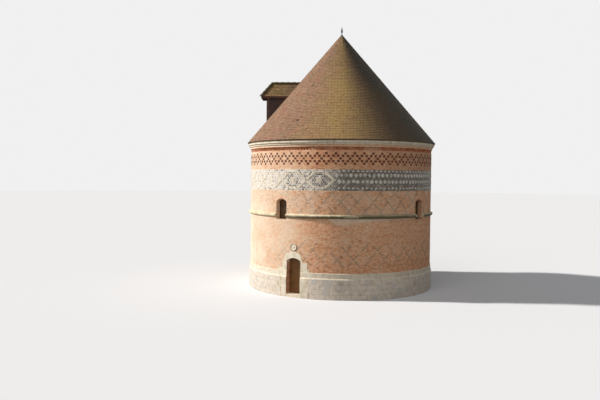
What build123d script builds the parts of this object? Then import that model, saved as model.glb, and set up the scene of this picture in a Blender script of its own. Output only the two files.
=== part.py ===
"""Round brick dovecote with a conical tiled roof, a plank door and a hipped flight dormer.

Millimetres, +Z up. The origin is on the tower's axis at ground level, and the door faces -Y.
Angles are in degrees, counter-clockwise from +X as seen from above.
"""
import os
from math import atan2, cos, degrees, radians, sin, tan

from build123d import *

# Tower: radii of the brick face and of the room, and the arc length of one built segment.
wall_radius = 4800
wall_thickness = 1000
segment_angle = 22.5
segment_joint = 0.4

# Heights of the bands, from the ground up.
plinth_height = 1240
plinth_cap_height = 230
plinth_splay_height = 60
string_base = 3820
string_height = 180
flint_base = 5120
lattice_base = 6115
tooth_base = 7020
tooth_height = 160
fillet_height = 115
cornice_height = 185

# How far each band stands out from the brick face, or back from it.
plinth_projection = 70
plinth_cap_projection = 30
string_projection = 110
tooth_recess = 60
fillet_projection = 30
cornice_projection = 140
cornice_hollow = 50
string_bed = 200
cornice_bed = 350

# Directions: the door faces -Y, the windows are a quarter apart, the dormer stands at the left.
door_angle = -90
door_bay_angle = 26
first_window_angle = -99
dormer_angle = 209

# Floor and doorway. The leaf closes from inside against a rebate cut in the stone surround.
floor_height = 150
door_width = 770
door_spring = 1685
door_rise = 200
door_corner_radius = 120
reveal_depth = 280
rebate_width = 55
rebate_depth = 90
embrasure_splay = 12
embrasure_top = 1990
lintel_height = 150
lintel_bearing = 220

# Jamb stones as (height, reach) from the threshold up; the last one runs up to the arch.
left_jamb_stones = [(330, 300), (300, 430), (230, 290), (200, 400), (190, 500), (0, 260)]
right_jamb_stones = [(330, 420), (300, 290), (230, 400), (160, 300), (220, 445), (0, 350)]
stone_proud = 12
arch_stone_top = 2190
arch_shoulder_drop = 165
arch_left_reach = 610
arch_right_reach = 500
arch_side_slope = 120
arch_joint = 3

# Door leaf: boards on three ledges, hung from strap hinges on two pintles.
stop_clearance = 5
leaf_gap = 10
leaf_thickness = 45
ledge_thickness = 30
ledge_height = 130
ledge_inset = 60
ledge_levels = [380, 980, 1540]
strap_thickness = 8
strap_height = 50
strap_length = 640
eye_radius = 16
pin_radius = 8
pin_clearance = 0.4
pin_setback = 20
pintle_plate_thickness = 6
pintle_plate_height = 120
latch_height = 1020
latch_inset = 120
latch_plate_radius = 34
latch_plate_thickness = 5
latch_ring_radius = 45
latch_bar_radius = 6

# Carved roundel over the door.
roundel_level = 2405
roundel_radius = 195
roundel_bed = 150
roundel_proud = 30

# Windows: arched openings, with a timber frame and one pane behind a rebate.
window_width = 648
window_wall_drop = 200
window_sill_drop = 105
window_head_cover = 420
window_rise = 190
window_corner_radius = 110
window_reveal = 250
window_rebate = 40
window_frame_width = 70
window_frame_depth = 60
window_frame_gap = 4
pane_thickness = 6

# Roof: a straight cone, measured at the top of the tiles, on rafters and a king post.
eave_overhang = 30
eave_edge = 75
roof_height = 5920
roof_cover = 130
crown_hole = 60
rafter_count = 8
rafter_width = 100
rafter_depth = 230
rafter_clearance = 12
king_post_radius = 150
king_post_length = 2000
plate_setback = 450
plate_width = 200
plate_height = 280

# Finial on the apex.
finial_cap_radius = 100
finial_cap_thickness = 14
finial_height = 440
finial_neck_radius = 24
finial_spear_radius = 55
finial_shank_radius = 40

# Flight dormer: its front is set back from the eaves, and its heights count from the roof there.
dormer_setback = 990
dormer_half_width = 500
dormer_eave_rise = 1315
dormer_roof_rise = 770
dormer_hip_setback = 270
dormer_front_overhang = 280
dormer_side_overhang = 110
dormer_cover = 90
dormer_post = 100
dormer_plate_height = 120
plate_nose_setback = 80
plate_tip_setback = 20
cheek_thickness = 30
flight_board_thickness = 40
flight_board_setback = 40
flight_board_count = 3
flight_hole_width = 150
flight_hole_height = 190
flight_hole_pitch = 235
flight_holes_per_row = 3
flight_rows = 2
flight_row_rise = 310
flight_row_pitch = 420
ledge_board_thickness = 35
dormer_passage_width = 760
dormer_passage_run = 1030

# Values that follow from the driving ones.
inner_radius = wall_radius - wall_thickness
plinth_radius = wall_radius + plinth_projection
plinth_cap_radius = wall_radius + plinth_cap_projection
plinth_cap_base = plinth_height - plinth_cap_height
fillet_base = tooth_base + tooth_height
cornice_base = fillet_base + fillet_height
wall_top = cornice_base + cornice_height
head_base = embrasure_top + lintel_height
half_door = door_width / 2
half_window = window_width / 2
window_wall_base = string_base - window_wall_drop
window_sill = string_base - window_sill_drop
window_crown = flint_base - window_head_cover
stop_plane = wall_radius - reveal_depth
rebate_back = stop_plane - rebate_depth
half_rebate = half_door + rebate_width
eave_radius = wall_radius + cornice_projection + eave_overhang
roof_apex = wall_top + roof_height
roof_slope = (roof_height - eave_edge) / eave_radius
plate_radius = wall_radius - plate_setback
quarter_segments = round(90 / segment_angle)
ring_segments = round(360 / segment_angle)


def radial_plane(angle):
    """Vertical plane through the axis: x is the radius towards the angle, y is the height."""
    a = radians(angle)
    return Plane(origin=(0, 0, 0), x_dir=(cos(a), sin(a), 0), z_dir=(sin(a), -cos(a), 0))


def facing_plane(angle, distance):
    """Vertical plane that faces outwards at a distance from the axis: y is the height."""
    a = radians(angle)
    out = Vector(cos(a), sin(a), 0)
    return Plane(origin=out * distance, x_dir=(-sin(a), cos(a), 0), z_dir=out)


def ring_blocks(draw_outline, start, count, step=segment_angle):
    """Arc blocks of one (radius, height) outline, side by side with a fine joint between them."""
    joint_angle = degrees(segment_joint / wall_radius)
    with BuildPart() as ring:
        for i in range(count):
            with BuildSketch(radial_plane(start + i * step + joint_angle / 2)):
                with BuildLine():
                    draw_outline()
                make_face()
            revolve(axis=Axis.Z, revolution_arc=step - joint_angle)
    return ring.part


def plain_outline(base, top):
    """Outline of a plain band of the wall, as a function that draws it."""
    def draw():
        Polyline((inner_radius, base), (wall_radius, base), (wall_radius, top),
                 (inner_radius, top), close=True)
    return draw


def export(piece, name):
    """Label a finished piece and write it."""
    piece.label = name
    export_step(piece, f"parts/{name}.step")


os.makedirs("parts", exist_ok=True)


# Openings that are cut from the walls


def arched_outline(half_span, foot, spring, rise, corner):
    """Opening with a three-centred arch: two small corner arcs joined by one wide arc."""
    centre_x = half_span - corner
    wide = (centre_x**2 + rise**2 - corner**2) / (2 * (rise - corner))
    corner_arc = degrees(atan2(wide - rise, centre_x))
    CenterArc((centre_x, spring), corner, 0, corner_arc)
    CenterArc((0, spring + rise - wide), wide, corner_arc, 180 - 2 * corner_arc)
    CenterArc((-centre_x, spring), corner, 180 - corner_arc, corner_arc)
    Polyline((-half_span, spring), (-half_span, foot), (half_span, foot), (half_span, spring))


def door_outline(grow, foot):
    """Outline of the doorway, larger by grow at its sides and arch."""
    arched_outline(half_door + grow, foot, door_spring, door_rise + grow, door_corner_radius + grow)


def window_outline(grow):
    """Outline of a window, larger by grow all round."""
    arched_outline(half_window + grow, window_sill - grow, window_crown - window_rise,
                   window_rise + grow, window_corner_radius + grow)


cut_margin = 300
embrasure_run = rebate_back - inner_radius + cut_margin
half_embrasure = half_rebate + embrasure_run * tan(radians(embrasure_splay))

with BuildPart() as doorway:
    with BuildSketch(Plane.XZ.offset(stop_plane)):
        with BuildLine():
            door_outline(0, -cut_margin)
        make_face()
    extrude(amount=reveal_depth + cut_margin)
    with BuildSketch(Plane.XZ.offset(rebate_back)):
        with BuildLine():
            door_outline(rebate_width, -cut_margin)
        make_face()
    extrude(amount=rebate_depth)
    with BuildSketch(Plane.XY.offset(-cut_margin)):
        with BuildLine():
            Polyline((-half_rebate, -rebate_back), (half_rebate, -rebate_back),
                     (half_embrasure, embrasure_run - rebate_back),
                     (-half_embrasure, embrasure_run - rebate_back), close=True)
        make_face()
    extrude(amount=embrasure_top + cut_margin)

window_angles = [first_window_angle + 90 * i for i in range(4)]
with BuildPart() as window_openings:
    for angle in window_angles:
        with BuildSketch(facing_plane(angle, wall_radius - window_reveal)):
            with BuildLine():
                window_outline(0)
            make_face()
        extrude(amount=window_reveal + cut_margin)
        with BuildSketch(facing_plane(angle, inner_radius - cut_margin)):
            with BuildLine():
                window_outline(window_rebate)
            make_face()
        extrude(amount=wall_thickness + cut_margin - window_reveal)

# Stone surround: toothed jambs, and two arch stones that meet over the crown


def jamb_outline(side, stones):
    """Stones of one jamb as a toothed outline, seen from outside."""
    level = 0
    for height, reach in [(floor_height, stones[0][1])] + stones:
        stone_height = height if height else door_spring - level
        with Locations((side * (half_door + reach / 2), level + stone_height / 2)):
            Rectangle(reach, stone_height)
        level += stone_height


with BuildPart() as surround_face:
    with BuildSketch(Plane.XZ):
        with BuildLine():
            Polyline((0, 0), (plinth_radius, 0), (plinth_radius, plinth_cap_base - plinth_splay_height),
                     (plinth_cap_radius, plinth_cap_base), (plinth_cap_radius, plinth_height),
                     (wall_radius + stone_proud, plinth_height),
                     (wall_radius + stone_proud, window_wall_base), (0, window_wall_base), close=True)
        make_face()
    revolve(axis=Axis.Z)

with BuildPart() as door_jambs:
    with BuildSketch(Plane.XZ.offset(rebate_back)):
        jamb_outline(-1, left_jamb_stones)
        jamb_outline(1, right_jamb_stones)
    extrude(amount=plinth_radius - rebate_back)
    add(surround_face.part, mode=Mode.INTERSECT)
    add(doorway.part, mode=Mode.SUBTRACT)
export(door_jambs.part, "door_jambs")

with BuildPart() as door_arch_stones:
    arch_shoulder = arch_stone_top - arch_shoulder_drop
    right_shoulder = (arch_right_reach - arch_side_slope, arch_shoulder)
    left_shoulder = (arch_side_slope - arch_left_reach, arch_shoulder)
    with BuildSketch(Plane.XZ.offset(rebate_back)):
        with BuildLine():
            Polyline(left_shoulder, (-arch_left_reach, door_spring), (arch_right_reach, door_spring),
                     right_shoulder)
            ThreePointArc(right_shoulder, (0, arch_stone_top), left_shoulder)
        make_face()
        with Locations((0, arch_stone_top)):
            Rectangle(arch_joint, 2 * arch_stone_top, mode=Mode.SUBTRACT)
    extrude(amount=plinth_radius - rebate_back)
    add(surround_face.part, mode=Mode.INTERSECT)
    add(doorway.part, mode=Mode.SUBTRACT)
export(door_arch_stones.part, "door_arch_stones")

with BuildPart() as inner_lintel:
    with BuildSketch(Plane.XY.offset(embrasure_top)):
        Circle(wall_radius)
        Circle(inner_radius, mode=Mode.SUBTRACT)
        with Locations((0, -rebate_back / 2)):
            Rectangle(2 * (half_embrasure + lintel_bearing), rebate_back, mode=Mode.INTERSECT)
    extrude(amount=lintel_height)
export(inner_lintel.part, "inner_lintel")

with BuildPart() as door_roundel:
    with BuildSketch(Plane.YZ):
        face = -wall_radius - roundel_proud
        boss_radius = 0.25 * roundel_radius
        ring_start = 0.6 * roundel_radius
        ring_middle = 0.77 * roundel_radius
        ring_end = 0.94 * roundel_radius
        with BuildLine():
            Line((face - 6, roundel_level), (face - 6, roundel_level + boss_radius - 20))
            TangentArc((face - 6, roundel_level + boss_radius - 20),
                       (face + 14, roundel_level + boss_radius), tangent=(0, 1))
            Line((face + 14, roundel_level + boss_radius), (face + 14, roundel_level + ring_start))
            ThreePointArc((face + 14, roundel_level + ring_start), (face - 6, roundel_level + ring_middle),
                          (face + 14, roundel_level + ring_end))
            Polyline((face + 14, roundel_level + ring_end), (face + 14, roundel_level + roundel_radius),
                     (roundel_bed - wall_radius, roundel_level + roundel_radius),
                     (roundel_bed - wall_radius, roundel_level), (face - 6, roundel_level))
        make_face()
    revolve(axis=Axis((0, 0, roundel_level), (0, 1, 0)))
export(door_roundel.part, "door_roundel")

# Plinth: a battered-looking base course, a splayed ledge and a smooth cap course


def plinth_outline():
    """Outline of the plinth with its ledge and its cap, which is weathered at the top."""
    weathering = plinth_cap_projection / 2
    Polyline((inner_radius, 0), (plinth_radius, 0),
             (plinth_radius, plinth_cap_base - plinth_splay_height),
             (plinth_cap_radius, plinth_cap_base), (plinth_cap_radius, plinth_height - weathering),
             (plinth_cap_radius - weathering, plinth_height), (inner_radius, plinth_height), close=True)


side_arc = (90 - door_bay_angle) / 2
front_start = door_angle - 45
bay_start = door_angle - door_bay_angle / 2
bay_end = door_angle + door_bay_angle / 2

with BuildPart() as plinth_front:
    add(ring_blocks(plinth_outline, front_start, 2, side_arc / 2))
    add(ring_blocks(plinth_outline, bay_start, 1, door_bay_angle))
    add(ring_blocks(plinth_outline, bay_end, 2, side_arc / 2))
    add(doorway.part, mode=Mode.SUBTRACT)
    add(door_jambs.part, mode=Mode.SUBTRACT)
export(plinth_front.part, "plinth_front")

other_quarters = {side: front_start + 90 * (i + 1) for i, side in enumerate(["right", "back", "left"])}
for side, start in other_quarters.items():
    export(ring_blocks(plinth_outline, start, quarter_segments), f"plinth_{side}")

# Lower wall: full-height segments beside the door bay, low piers and a head over the doorway
lower_outline = plain_outline(plinth_height, window_wall_base)
with BuildPart() as lower_wall_front:
    add(ring_blocks(lower_outline, front_start, 2, side_arc / 2))
    add(ring_blocks(plain_outline(plinth_height, head_base), bay_start, 1, door_bay_angle))
    add(ring_blocks(lower_outline, bay_end, 2, side_arc / 2))
    add(doorway.part, mode=Mode.SUBTRACT)
    add(door_jambs.part, mode=Mode.SUBTRACT)
    add(door_arch_stones.part, mode=Mode.SUBTRACT)
    add(inner_lintel.part, mode=Mode.SUBTRACT)
    with BuildSketch(Plane.XZ.offset(rebate_back)):
        with Locations((0, head_base)):
            Rectangle(arch_joint, 2 * (head_base - door_spring))
    extrude(amount=reveal_depth + rebate_depth, mode=Mode.SUBTRACT)
export(lower_wall_front.part, "lower_wall_front")

with BuildPart() as door_head_wall:
    add(ring_blocks(plain_outline(head_base, window_wall_base), bay_start, 1, door_bay_angle))
    add(door_arch_stones.part, mode=Mode.SUBTRACT)
    with BuildSketch(Plane.XZ.offset(wall_radius - roundel_bed)):
        with Locations((0, roundel_level)):
            Circle(roundel_radius)
    extrude(amount=roundel_bed + cut_margin, mode=Mode.SUBTRACT)
export(door_head_wall.part, "door_head_wall")

for side, start in other_quarters.items():
    export(ring_blocks(lower_outline, start, quarter_segments), f"lower_wall_{side}")

# Window wall: one quarter round each window, with a groove that beds the string course


def window_wall_outline():
    """Outline of the wall at the windows, grooved for the string course."""
    groove = wall_radius - string_bed
    Polyline((inner_radius, window_wall_base), (wall_radius, window_wall_base),
             (wall_radius, string_base), (groove, string_base),
             (groove, string_base + string_height), (wall_radius, string_base + string_height),
             (wall_radius, flint_base), (inner_radius, flint_base), close=True)


def string_outline():
    """Outline of the string course: a quarter-round under a sloped, weathered top."""
    lip = wall_radius + string_projection
    bed = wall_radius - string_bed
    round_start = lip - 0.45 * string_height
    Line((bed, string_base), (round_start, string_base))
    TangentArc((round_start, string_base), (lip, string_base + 0.45 * string_height), tangent=(1, 0))
    Polyline((lip, string_base + 0.45 * string_height), (lip, string_base + 0.65 * string_height),
             (wall_radius, string_base + string_height), (bed, string_base + string_height),
             (bed, string_base))


window_start = first_window_angle - 45
for i, side in enumerate(["front", "right", "back", "left"]):
    with BuildPart() as window_wall:
        add(ring_blocks(window_wall_outline, window_start + 90 * i, quarter_segments))
        add(window_openings.part, mode=Mode.SUBTRACT)
    export(window_wall.part, f"window_wall_{side}")

with BuildPart() as string_course:
    add(ring_blocks(string_outline, window_start, ring_segments))
    add(window_openings.part, mode=Mode.SUBTRACT)
export(string_course.part, "string_course")

with BuildPart() as window_frames:
    for angle in window_angles:
        frame_front = wall_radius - window_reveal
        with BuildSketch(facing_plane(angle, frame_front - window_frame_depth)):
            with BuildLine():
                window_outline(window_rebate - window_frame_gap)
            make_face()
        extrude(amount=window_frame_depth)
        with BuildSketch(facing_plane(angle, frame_front - window_frame_depth)):
            with BuildLine():
                window_outline(window_rebate - window_frame_gap - window_frame_width)
            make_face()
        extrude(amount=window_frame_depth, mode=Mode.SUBTRACT)
export(window_frames.part, "window_frames")

with BuildPart() as window_panes:
    for angle in window_angles:
        with BuildSketch(facing_plane(angle, wall_radius - window_reveal - window_frame_depth / 2)):
            with BuildLine():
                window_outline(window_rebate - window_frame_gap - window_frame_width)
            make_face()
        extrude(amount=pane_thickness / 2, both=True)
export(window_panes.part, "window_panes")

# Flint band, lattice brickwork and the eaves courses
flint_band = ring_blocks(plain_outline(flint_base, lattice_base), window_start, ring_segments)
export(flint_band, "flint_band")
lattice_band = ring_blocks(plain_outline(lattice_base, tooth_base), window_start, ring_segments)
export(lattice_band, "lattice_band")


def eaves_outline():
    """Recess for the dogtooth bricks, the brick fillet over it, and the bed of the cornice."""
    recess = wall_radius - tooth_recess
    fillet_face = wall_radius + fillet_projection
    bed = wall_radius - cornice_bed
    Polyline((inner_radius, tooth_base), (recess, tooth_base), (recess, fillet_base),
             (fillet_face, fillet_base), (fillet_face, cornice_base), (bed, cornice_base),
             (bed, wall_top), (inner_radius, wall_top), close=True)


def cornice_outline():
    """Moulded cornice: a low fascia, a cavetto, a fillet and a tall weathered fascia."""
    bed = wall_radius - cornice_bed
    lip = wall_radius + cornice_projection
    fascia = lip - 15 - cornice_hollow
    hollow_base = cornice_base + 0.15 * cornice_height
    hollow_top = hollow_base + cornice_hollow
    Polyline((bed, cornice_base), (fascia, cornice_base), (fascia, hollow_base))
    TangentArc((fascia, hollow_base), (lip - 15, hollow_top), tangent=(0, 1))
    Polyline((lip - 15, hollow_top), (lip - 15, hollow_top + 12), (lip, hollow_top + 12),
             (lip, wall_top - 15), (lip - 15, wall_top), (bed, wall_top), (bed, cornice_base))


export(ring_blocks(eaves_outline, window_start, ring_segments), "eaves_courses")
export(ring_blocks(cornice_outline, window_start, ring_segments), "cornice")

# Floor and threshold
with BuildPart() as floor_paving:
    Cylinder(inner_radius, floor_height, align=(Align.CENTER, Align.CENTER, Align.MIN))
export(floor_paving.part, "floor_paving")

with BuildPart() as threshold:
    with BuildSketch():
        Circle(plinth_radius)
        Circle(inner_radius, mode=Mode.SUBTRACT)
    extrude(amount=floor_height)
    add(doorway.part, mode=Mode.INTERSECT)
export(threshold.part, "threshold")

# Door leaf, which turns inwards about the pintles at its left edge
leaf_grow = rebate_width - leaf_gap
half_leaf = half_door + leaf_grow
leaf_front = stop_plane - stop_clearance
leaf_back = leaf_front - leaf_thickness
ledge_back = leaf_back - ledge_thickness
pin_x = pin_setback - half_leaf
pin_y = -(ledge_back - strap_thickness / 2)
hinge_levels = [ledge_levels[0], ledge_levels[-1]]

with BuildPart() as door_leaf:
    with BuildSketch(Plane.XZ.offset(leaf_back)):
        with BuildLine():
            door_outline(leaf_grow, floor_height + leaf_gap)
        make_face()
    extrude(amount=leaf_thickness)
    with BuildSketch(Plane.XZ.offset(ledge_back)):
        for level in ledge_levels:
            with Locations((0, level)):
                Rectangle(2 * (half_leaf - ledge_inset), ledge_height)
    extrude(amount=ledge_thickness)
export(door_leaf.part, "door_leaf")

with BuildPart() as strap_hinges:
    for level in hinge_levels:
        with BuildSketch(Plane.XZ.offset(ledge_back - strap_thickness)):
            with BuildLine():
                Polyline((pin_x, level - strap_height / 2), (pin_x, level + strap_height / 2),
                         (pin_x + 0.85 * strap_length, level + 0.3 * strap_height),
                         (pin_x + strap_length, level),
                         (pin_x + 0.85 * strap_length, level - 0.3 * strap_height), close=True)
            make_face()
        extrude(amount=strap_thickness)
        with Locations((pin_x, pin_y, level)):
            Cylinder(eye_radius, strap_height)
            Hole(pin_radius + pin_clearance, strap_height)
export(strap_hinges.part, "strap_hinges")

with BuildPart() as pintles:
    arm = 2 * pin_radius
    for level in hinge_levels:
        arm_top = level - strap_height / 2 - stop_clearance
        with Locations((pin_x, pin_y, arm_top)):
            Cylinder(pin_radius, strap_height + 2 * arm, align=(Align.CENTER, Align.CENTER, Align.MIN))
        with BuildSketch(Plane.XY.offset(arm_top - arm)):
            with Locations(((pin_x - half_rebate) / 2, pin_y)):
                Rectangle(pin_x + half_rebate, arm)
            with Locations((pin_x, pin_y)):
                Circle(pin_radius)
        extrude(amount=arm)
        with Locations((pintle_plate_thickness / 2 - half_rebate, pin_y, arm_top - arm / 2)):
            Box(pintle_plate_thickness, arm, pintle_plate_height)
export(pintles.part, "pintles")

with BuildPart() as door_latch:
    latch_x = half_door - latch_inset
    with BuildSketch(Plane.XZ.offset(leaf_front)):
        with Locations((latch_x, latch_height)):
            Circle(latch_plate_radius)
    extrude(amount=latch_plate_thickness)
    with BuildSketch(Plane.XZ.offset(leaf_front)):
        with Locations((latch_x, latch_height)):
            Rectangle(3 * latch_bar_radius, 4 * latch_bar_radius)
    extrude(amount=latch_plate_thickness + 3 * latch_bar_radius)
    ring_y = -(leaf_front + latch_plate_thickness + 2 * latch_bar_radius)
    with Locations(Location((latch_x, ring_y, latch_height - latch_ring_radius), (90, 0, 0))):
        Torus(latch_ring_radius, latch_bar_radius)
export(door_latch.part, "door_latch")

# Roof timbers: a plate on the wall head, rafters notched over it, and a king post
with BuildPart() as wall_plate:
    joint_angle = degrees(segment_joint / wall_radius)
    for i in range(ring_segments):
        with BuildSketch(radial_plane(dormer_angle + (i + 0.5) * segment_angle + joint_angle / 2)):
            with BuildLine():
                Polyline((plate_radius, wall_top), (plate_radius + plate_width, wall_top),
                         (plate_radius + plate_width, wall_top + plate_height),
                         (plate_radius, wall_top + plate_height), close=True)
            make_face()
        revolve(axis=Axis.Z, revolution_arc=segment_angle - joint_angle)
export(wall_plate.part, "wall_plate")

king_post_top = roof_apex - roof_cover - roof_slope * king_post_radius - rafter_clearance
with BuildPart() as king_post:
    with BuildSketch(Plane.XY.offset(king_post_top - king_post_length)):
        RegularPolygon(king_post_radius, rafter_count, rotation=dormer_angle)
    extrude(amount=king_post_length)
    chamfer(king_post.edges().group_by(Axis.Z)[0], king_post_radius / 3)
export(king_post.part, "king_post")

rafter_line = roof_apex - roof_cover - rafter_clearance
with BuildPart() as rafters:
    for i in range(rafter_count):
        with BuildSketch(radial_plane(dormer_angle + (i + 0.5) * 360 / rafter_count)):
            head = (rafter_line - king_post_top) / roof_slope
            top_foot = (rafter_line - wall_top) / roof_slope
            low_foot = (rafter_line - rafter_depth - wall_top) / roof_slope
            with BuildLine():
                Polyline((0, king_post_top), (head, king_post_top), (top_foot, wall_top),
                         (low_foot, wall_top), (0, rafter_line - rafter_depth), close=True)
            make_face()
        extrude(amount=rafter_width / 2, both=True)
    add(king_post.part, mode=Mode.SUBTRACT)
    add(wall_plate.part, mode=Mode.SUBTRACT)
export(rafters.part, "rafters")

# Roof covering in quarters; the left quarter has the pigeons' passage under the dormer


def roof_outline():
    """Tiles and boards as one sloping layer that sits on the cornice and stops at the crown."""
    inner_apex = roof_apex - roof_cover
    crown_top = roof_apex - roof_slope * crown_hole
    Polyline((eave_radius, wall_top), (eave_radius, wall_top + eave_edge), (crown_hole, crown_top),
             (crown_hole, crown_top - roof_cover), ((inner_apex - wall_top) / roof_slope, wall_top),
             close=True)


def dormer_side(offset):
    """Plane along the dormer at an offset from its middle, positive to the dormer's left."""
    return radial_plane(dormer_angle).offset(-offset)


dormer_front = eave_radius - dormer_setback
dormer_foot = roof_apex - roof_slope * dormer_front
roof_start = dormer_angle - 2.5 * segment_angle
passage_front = dormer_front - flight_board_setback - flight_board_thickness
passage_back = dormer_front - dormer_passage_run
for i, side in enumerate(["left", "front", "right", "back"]):
    with BuildPart() as roof_quarter:
        add(ring_blocks(roof_outline, roof_start + 90 * i, quarter_segments))
        if side == "left":
            with BuildSketch(dormer_side(-dormer_passage_width / 2)):
                with BuildLine():
                    Polyline((passage_back, wall_top), (passage_front, wall_top),
                             (passage_front, roof_apex), (passage_back, roof_apex), close=True)
                make_face()
            extrude(amount=-dormer_passage_width, mode=Mode.SUBTRACT)
    export(roof_quarter.part, f"roof_{side}")

with BuildPart() as roof_cone:
    with BuildSketch(Plane.XZ):
        with BuildLine():
            Polyline((0, wall_top), (eave_radius, wall_top), (eave_radius, wall_top + eave_edge),
                     (0, roof_apex), close=True)
        make_face()
    revolve(axis=Axis.Z)

# Finial: a sheet cap over the crown, a hollow neck and a spearhead, on a shank in the king post
with BuildPart() as finial:
    cap_edge = roof_apex - roof_slope * finial_cap_radius
    neck_level = roof_apex + 0.17 * finial_height
    spear_level = neck_level + 0.25 * finial_height
    with BuildSketch(Plane.XZ):
        with BuildLine():
            Polyline((0, king_post_top), (finial_shank_radius, king_post_top),
                     (finial_shank_radius, roof_apex - roof_slope * finial_shank_radius),
                     (finial_cap_radius, cap_edge), (finial_cap_radius, cap_edge + finial_cap_thickness),
                     (2 * finial_neck_radius, roof_apex - roof_slope * finial_neck_radius))
            ThreePointArc((2 * finial_neck_radius, roof_apex - roof_slope * finial_neck_radius),
                          (1.2 * finial_neck_radius, roof_apex), (finial_neck_radius, neck_level))
            TangentArc((finial_spear_radius, spear_level), (finial_neck_radius, neck_level), tangent=(0, -1))
            Polyline((finial_spear_radius, spear_level), (0, roof_apex + finial_height), (0, king_post_top))
        make_face()
    revolve(axis=Axis.Z)
export(finial.part, "finial")

# Flight dormer: posts and plates, boarded cheeks, a board with flight holes, and a hipped roof
dormer_eave = dormer_foot + dormer_eave_rise
dormer_ridge = dormer_eave + dormer_roof_rise
dormer_ridge_end = dormer_front - dormer_hip_setback
dormer_eave_front = dormer_front + dormer_front_overhang
dormer_eave_side = dormer_half_width + dormer_side_overhang
side_pitch = dormer_roof_rise / dormer_eave_side
hip_run = dormer_eave_front - dormer_ridge_end
hip_pitch = dormer_roof_rise / hip_run
dormer_plate_top = dormer_ridge - side_pitch * dormer_half_width - dormer_cover
dormer_plate_base = dormer_plate_top - dormer_plate_height
dormer_tail = (roof_apex - dormer_ridge) / roof_slope - dormer_cover
post_back = dormer_front - dormer_post
post_foot = dormer_foot - dormer_post
plate_tip = dormer_eave_front - plate_tip_setback


def hip_underside(distance):
    """Height of the hip's underside at a plan distance from the axis."""
    return dormer_ridge - dormer_cover - hip_pitch * (distance - dormer_ridge_end)


with BuildPart() as dormer_frame:
    for inner_face in [dormer_half_width - dormer_post, -dormer_half_width]:
        with BuildSketch(dormer_side(inner_face)):
            with BuildLine():
                Polyline((dormer_tail, dormer_plate_base), (post_back, dormer_plate_base),
                         (post_back, post_foot), (dormer_front, post_foot),
                         (dormer_front, dormer_plate_base),
                         (dormer_eave_front - plate_nose_setback, dormer_plate_base),
                         (plate_tip, hip_underside(plate_tip)),
                         (dormer_ridge_end + side_pitch * dormer_half_width / hip_pitch, dormer_plate_top),
                         (dormer_tail, dormer_plate_top), close=True)
            make_face()
        extrude(amount=-dormer_post)
    with BuildSketch(dormer_side(dormer_post / 2 - dormer_half_width)):
        with Locations((post_back - dormer_post / 2, dormer_plate_top - dormer_plate_height / 2)):
            Rectangle(dormer_post, dormer_plate_height)
    extrude(amount=dormer_post - 2 * dormer_half_width)
    add(roof_cone.part, mode=Mode.SUBTRACT)
export(dormer_frame.part, "dormer_frame")

with BuildPart() as dormer_cheeks:
    for inner_face in [dormer_half_width - cheek_thickness, -dormer_half_width]:
        with BuildSketch(dormer_side(inner_face)):
            with BuildLine():
                Polyline((dormer_tail, dormer_plate_base), (post_back, dormer_plate_base),
                         (post_back, post_foot), (dormer_tail, post_foot), close=True)
            make_face()
        extrude(amount=-cheek_thickness)
    add(roof_cone.part, mode=Mode.SUBTRACT)
export(dormer_cheeks.part, "dormer_cheeks")

board_face = dormer_front - flight_board_setback
board_half = dormer_half_width - dormer_post
board_top = hip_underside(board_face)
row_levels = [dormer_foot + flight_row_rise + i * flight_row_pitch for i in range(flight_rows)]
board_shoulder = dormer_ridge - dormer_cover - side_pitch * board_half
with BuildPart() as flight_board:
    with BuildSketch(facing_plane(dormer_angle, board_face - flight_board_thickness)):
        with BuildLine():
            crown_half = (dormer_ridge - dormer_cover - board_top) / side_pitch
            Polyline((-board_half, post_foot), (board_half, post_foot), (board_half, board_shoulder),
                     (crown_half, board_top), (-crown_half, board_top), (-board_half, board_shoulder),
                     close=True)
        make_face()
        for i in range(1, flight_board_count):
            with Locations((board_half * (2 * i / flight_board_count - 1), post_foot)):
                Rectangle(segment_joint, 3 * (board_top - post_foot), mode=Mode.SUBTRACT)
        hole_radius = flight_hole_width / 2
        for level in row_levels:
            with Locations((0, level - segment_joint / 2)):
                Rectangle(2 * board_half, segment_joint, mode=Mode.SUBTRACT)
            for i in range(flight_holes_per_row):
                x = (i - (flight_holes_per_row - 1) / 2) * flight_hole_pitch
                straight = flight_hole_height - hole_radius
                with Locations((x, level + straight / 2)):
                    Rectangle(flight_hole_width, straight, mode=Mode.SUBTRACT)
                with Locations((x, level + straight)):
                    Circle(hole_radius, mode=Mode.SUBTRACT)
    extrude(amount=flight_board_thickness)
    add(roof_cone.part, mode=Mode.SUBTRACT)
    add(dormer_frame.part, mode=Mode.SUBTRACT)
export(flight_board.part, "flight_board")

with BuildPart() as landing_ledges:
    with BuildSketch(facing_plane(dormer_angle, board_face)):
        for level in row_levels:
            with Locations((0, level - ledge_board_thickness / 2)):
                Rectangle(2 * board_half, ledge_board_thickness)
    extrude(amount=flight_board_setback)
export(landing_ledges.part, "landing_ledges")

a = radians(dormer_angle)
dormer_out = Vector(cos(a), sin(a), 0)
dormer_across = Vector(-sin(a), cos(a), 0)
hip_start = dormer_out * dormer_ridge_end


def hip_plane(side):
    """Upright plane of one hip line; its normal points to that side's long slope."""
    normal = dormer_across * (side * hip_run) - dormer_out * dormer_eave_side
    return Plane(origin=hip_start, x_dir=(0, 0, 1), z_dir=normal)


with BuildPart() as dormer_slope:
    with BuildSketch(facing_plane(dormer_angle, dormer_tail)):
        with BuildLine():
            Polyline((0, dormer_ridge), (dormer_eave_side, dormer_eave),
                     (dormer_eave_side, dormer_eave - dormer_cover), (0, dormer_ridge - dormer_cover),
                     close=True)
        make_face()
    extrude(amount=dormer_eave_front - dormer_tail)
    split(bisect_by=hip_plane(1), keep=Keep.TOP)
    add(roof_cone.part, mode=Mode.SUBTRACT)
export(dormer_slope.part, "dormer_slope_right")

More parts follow.
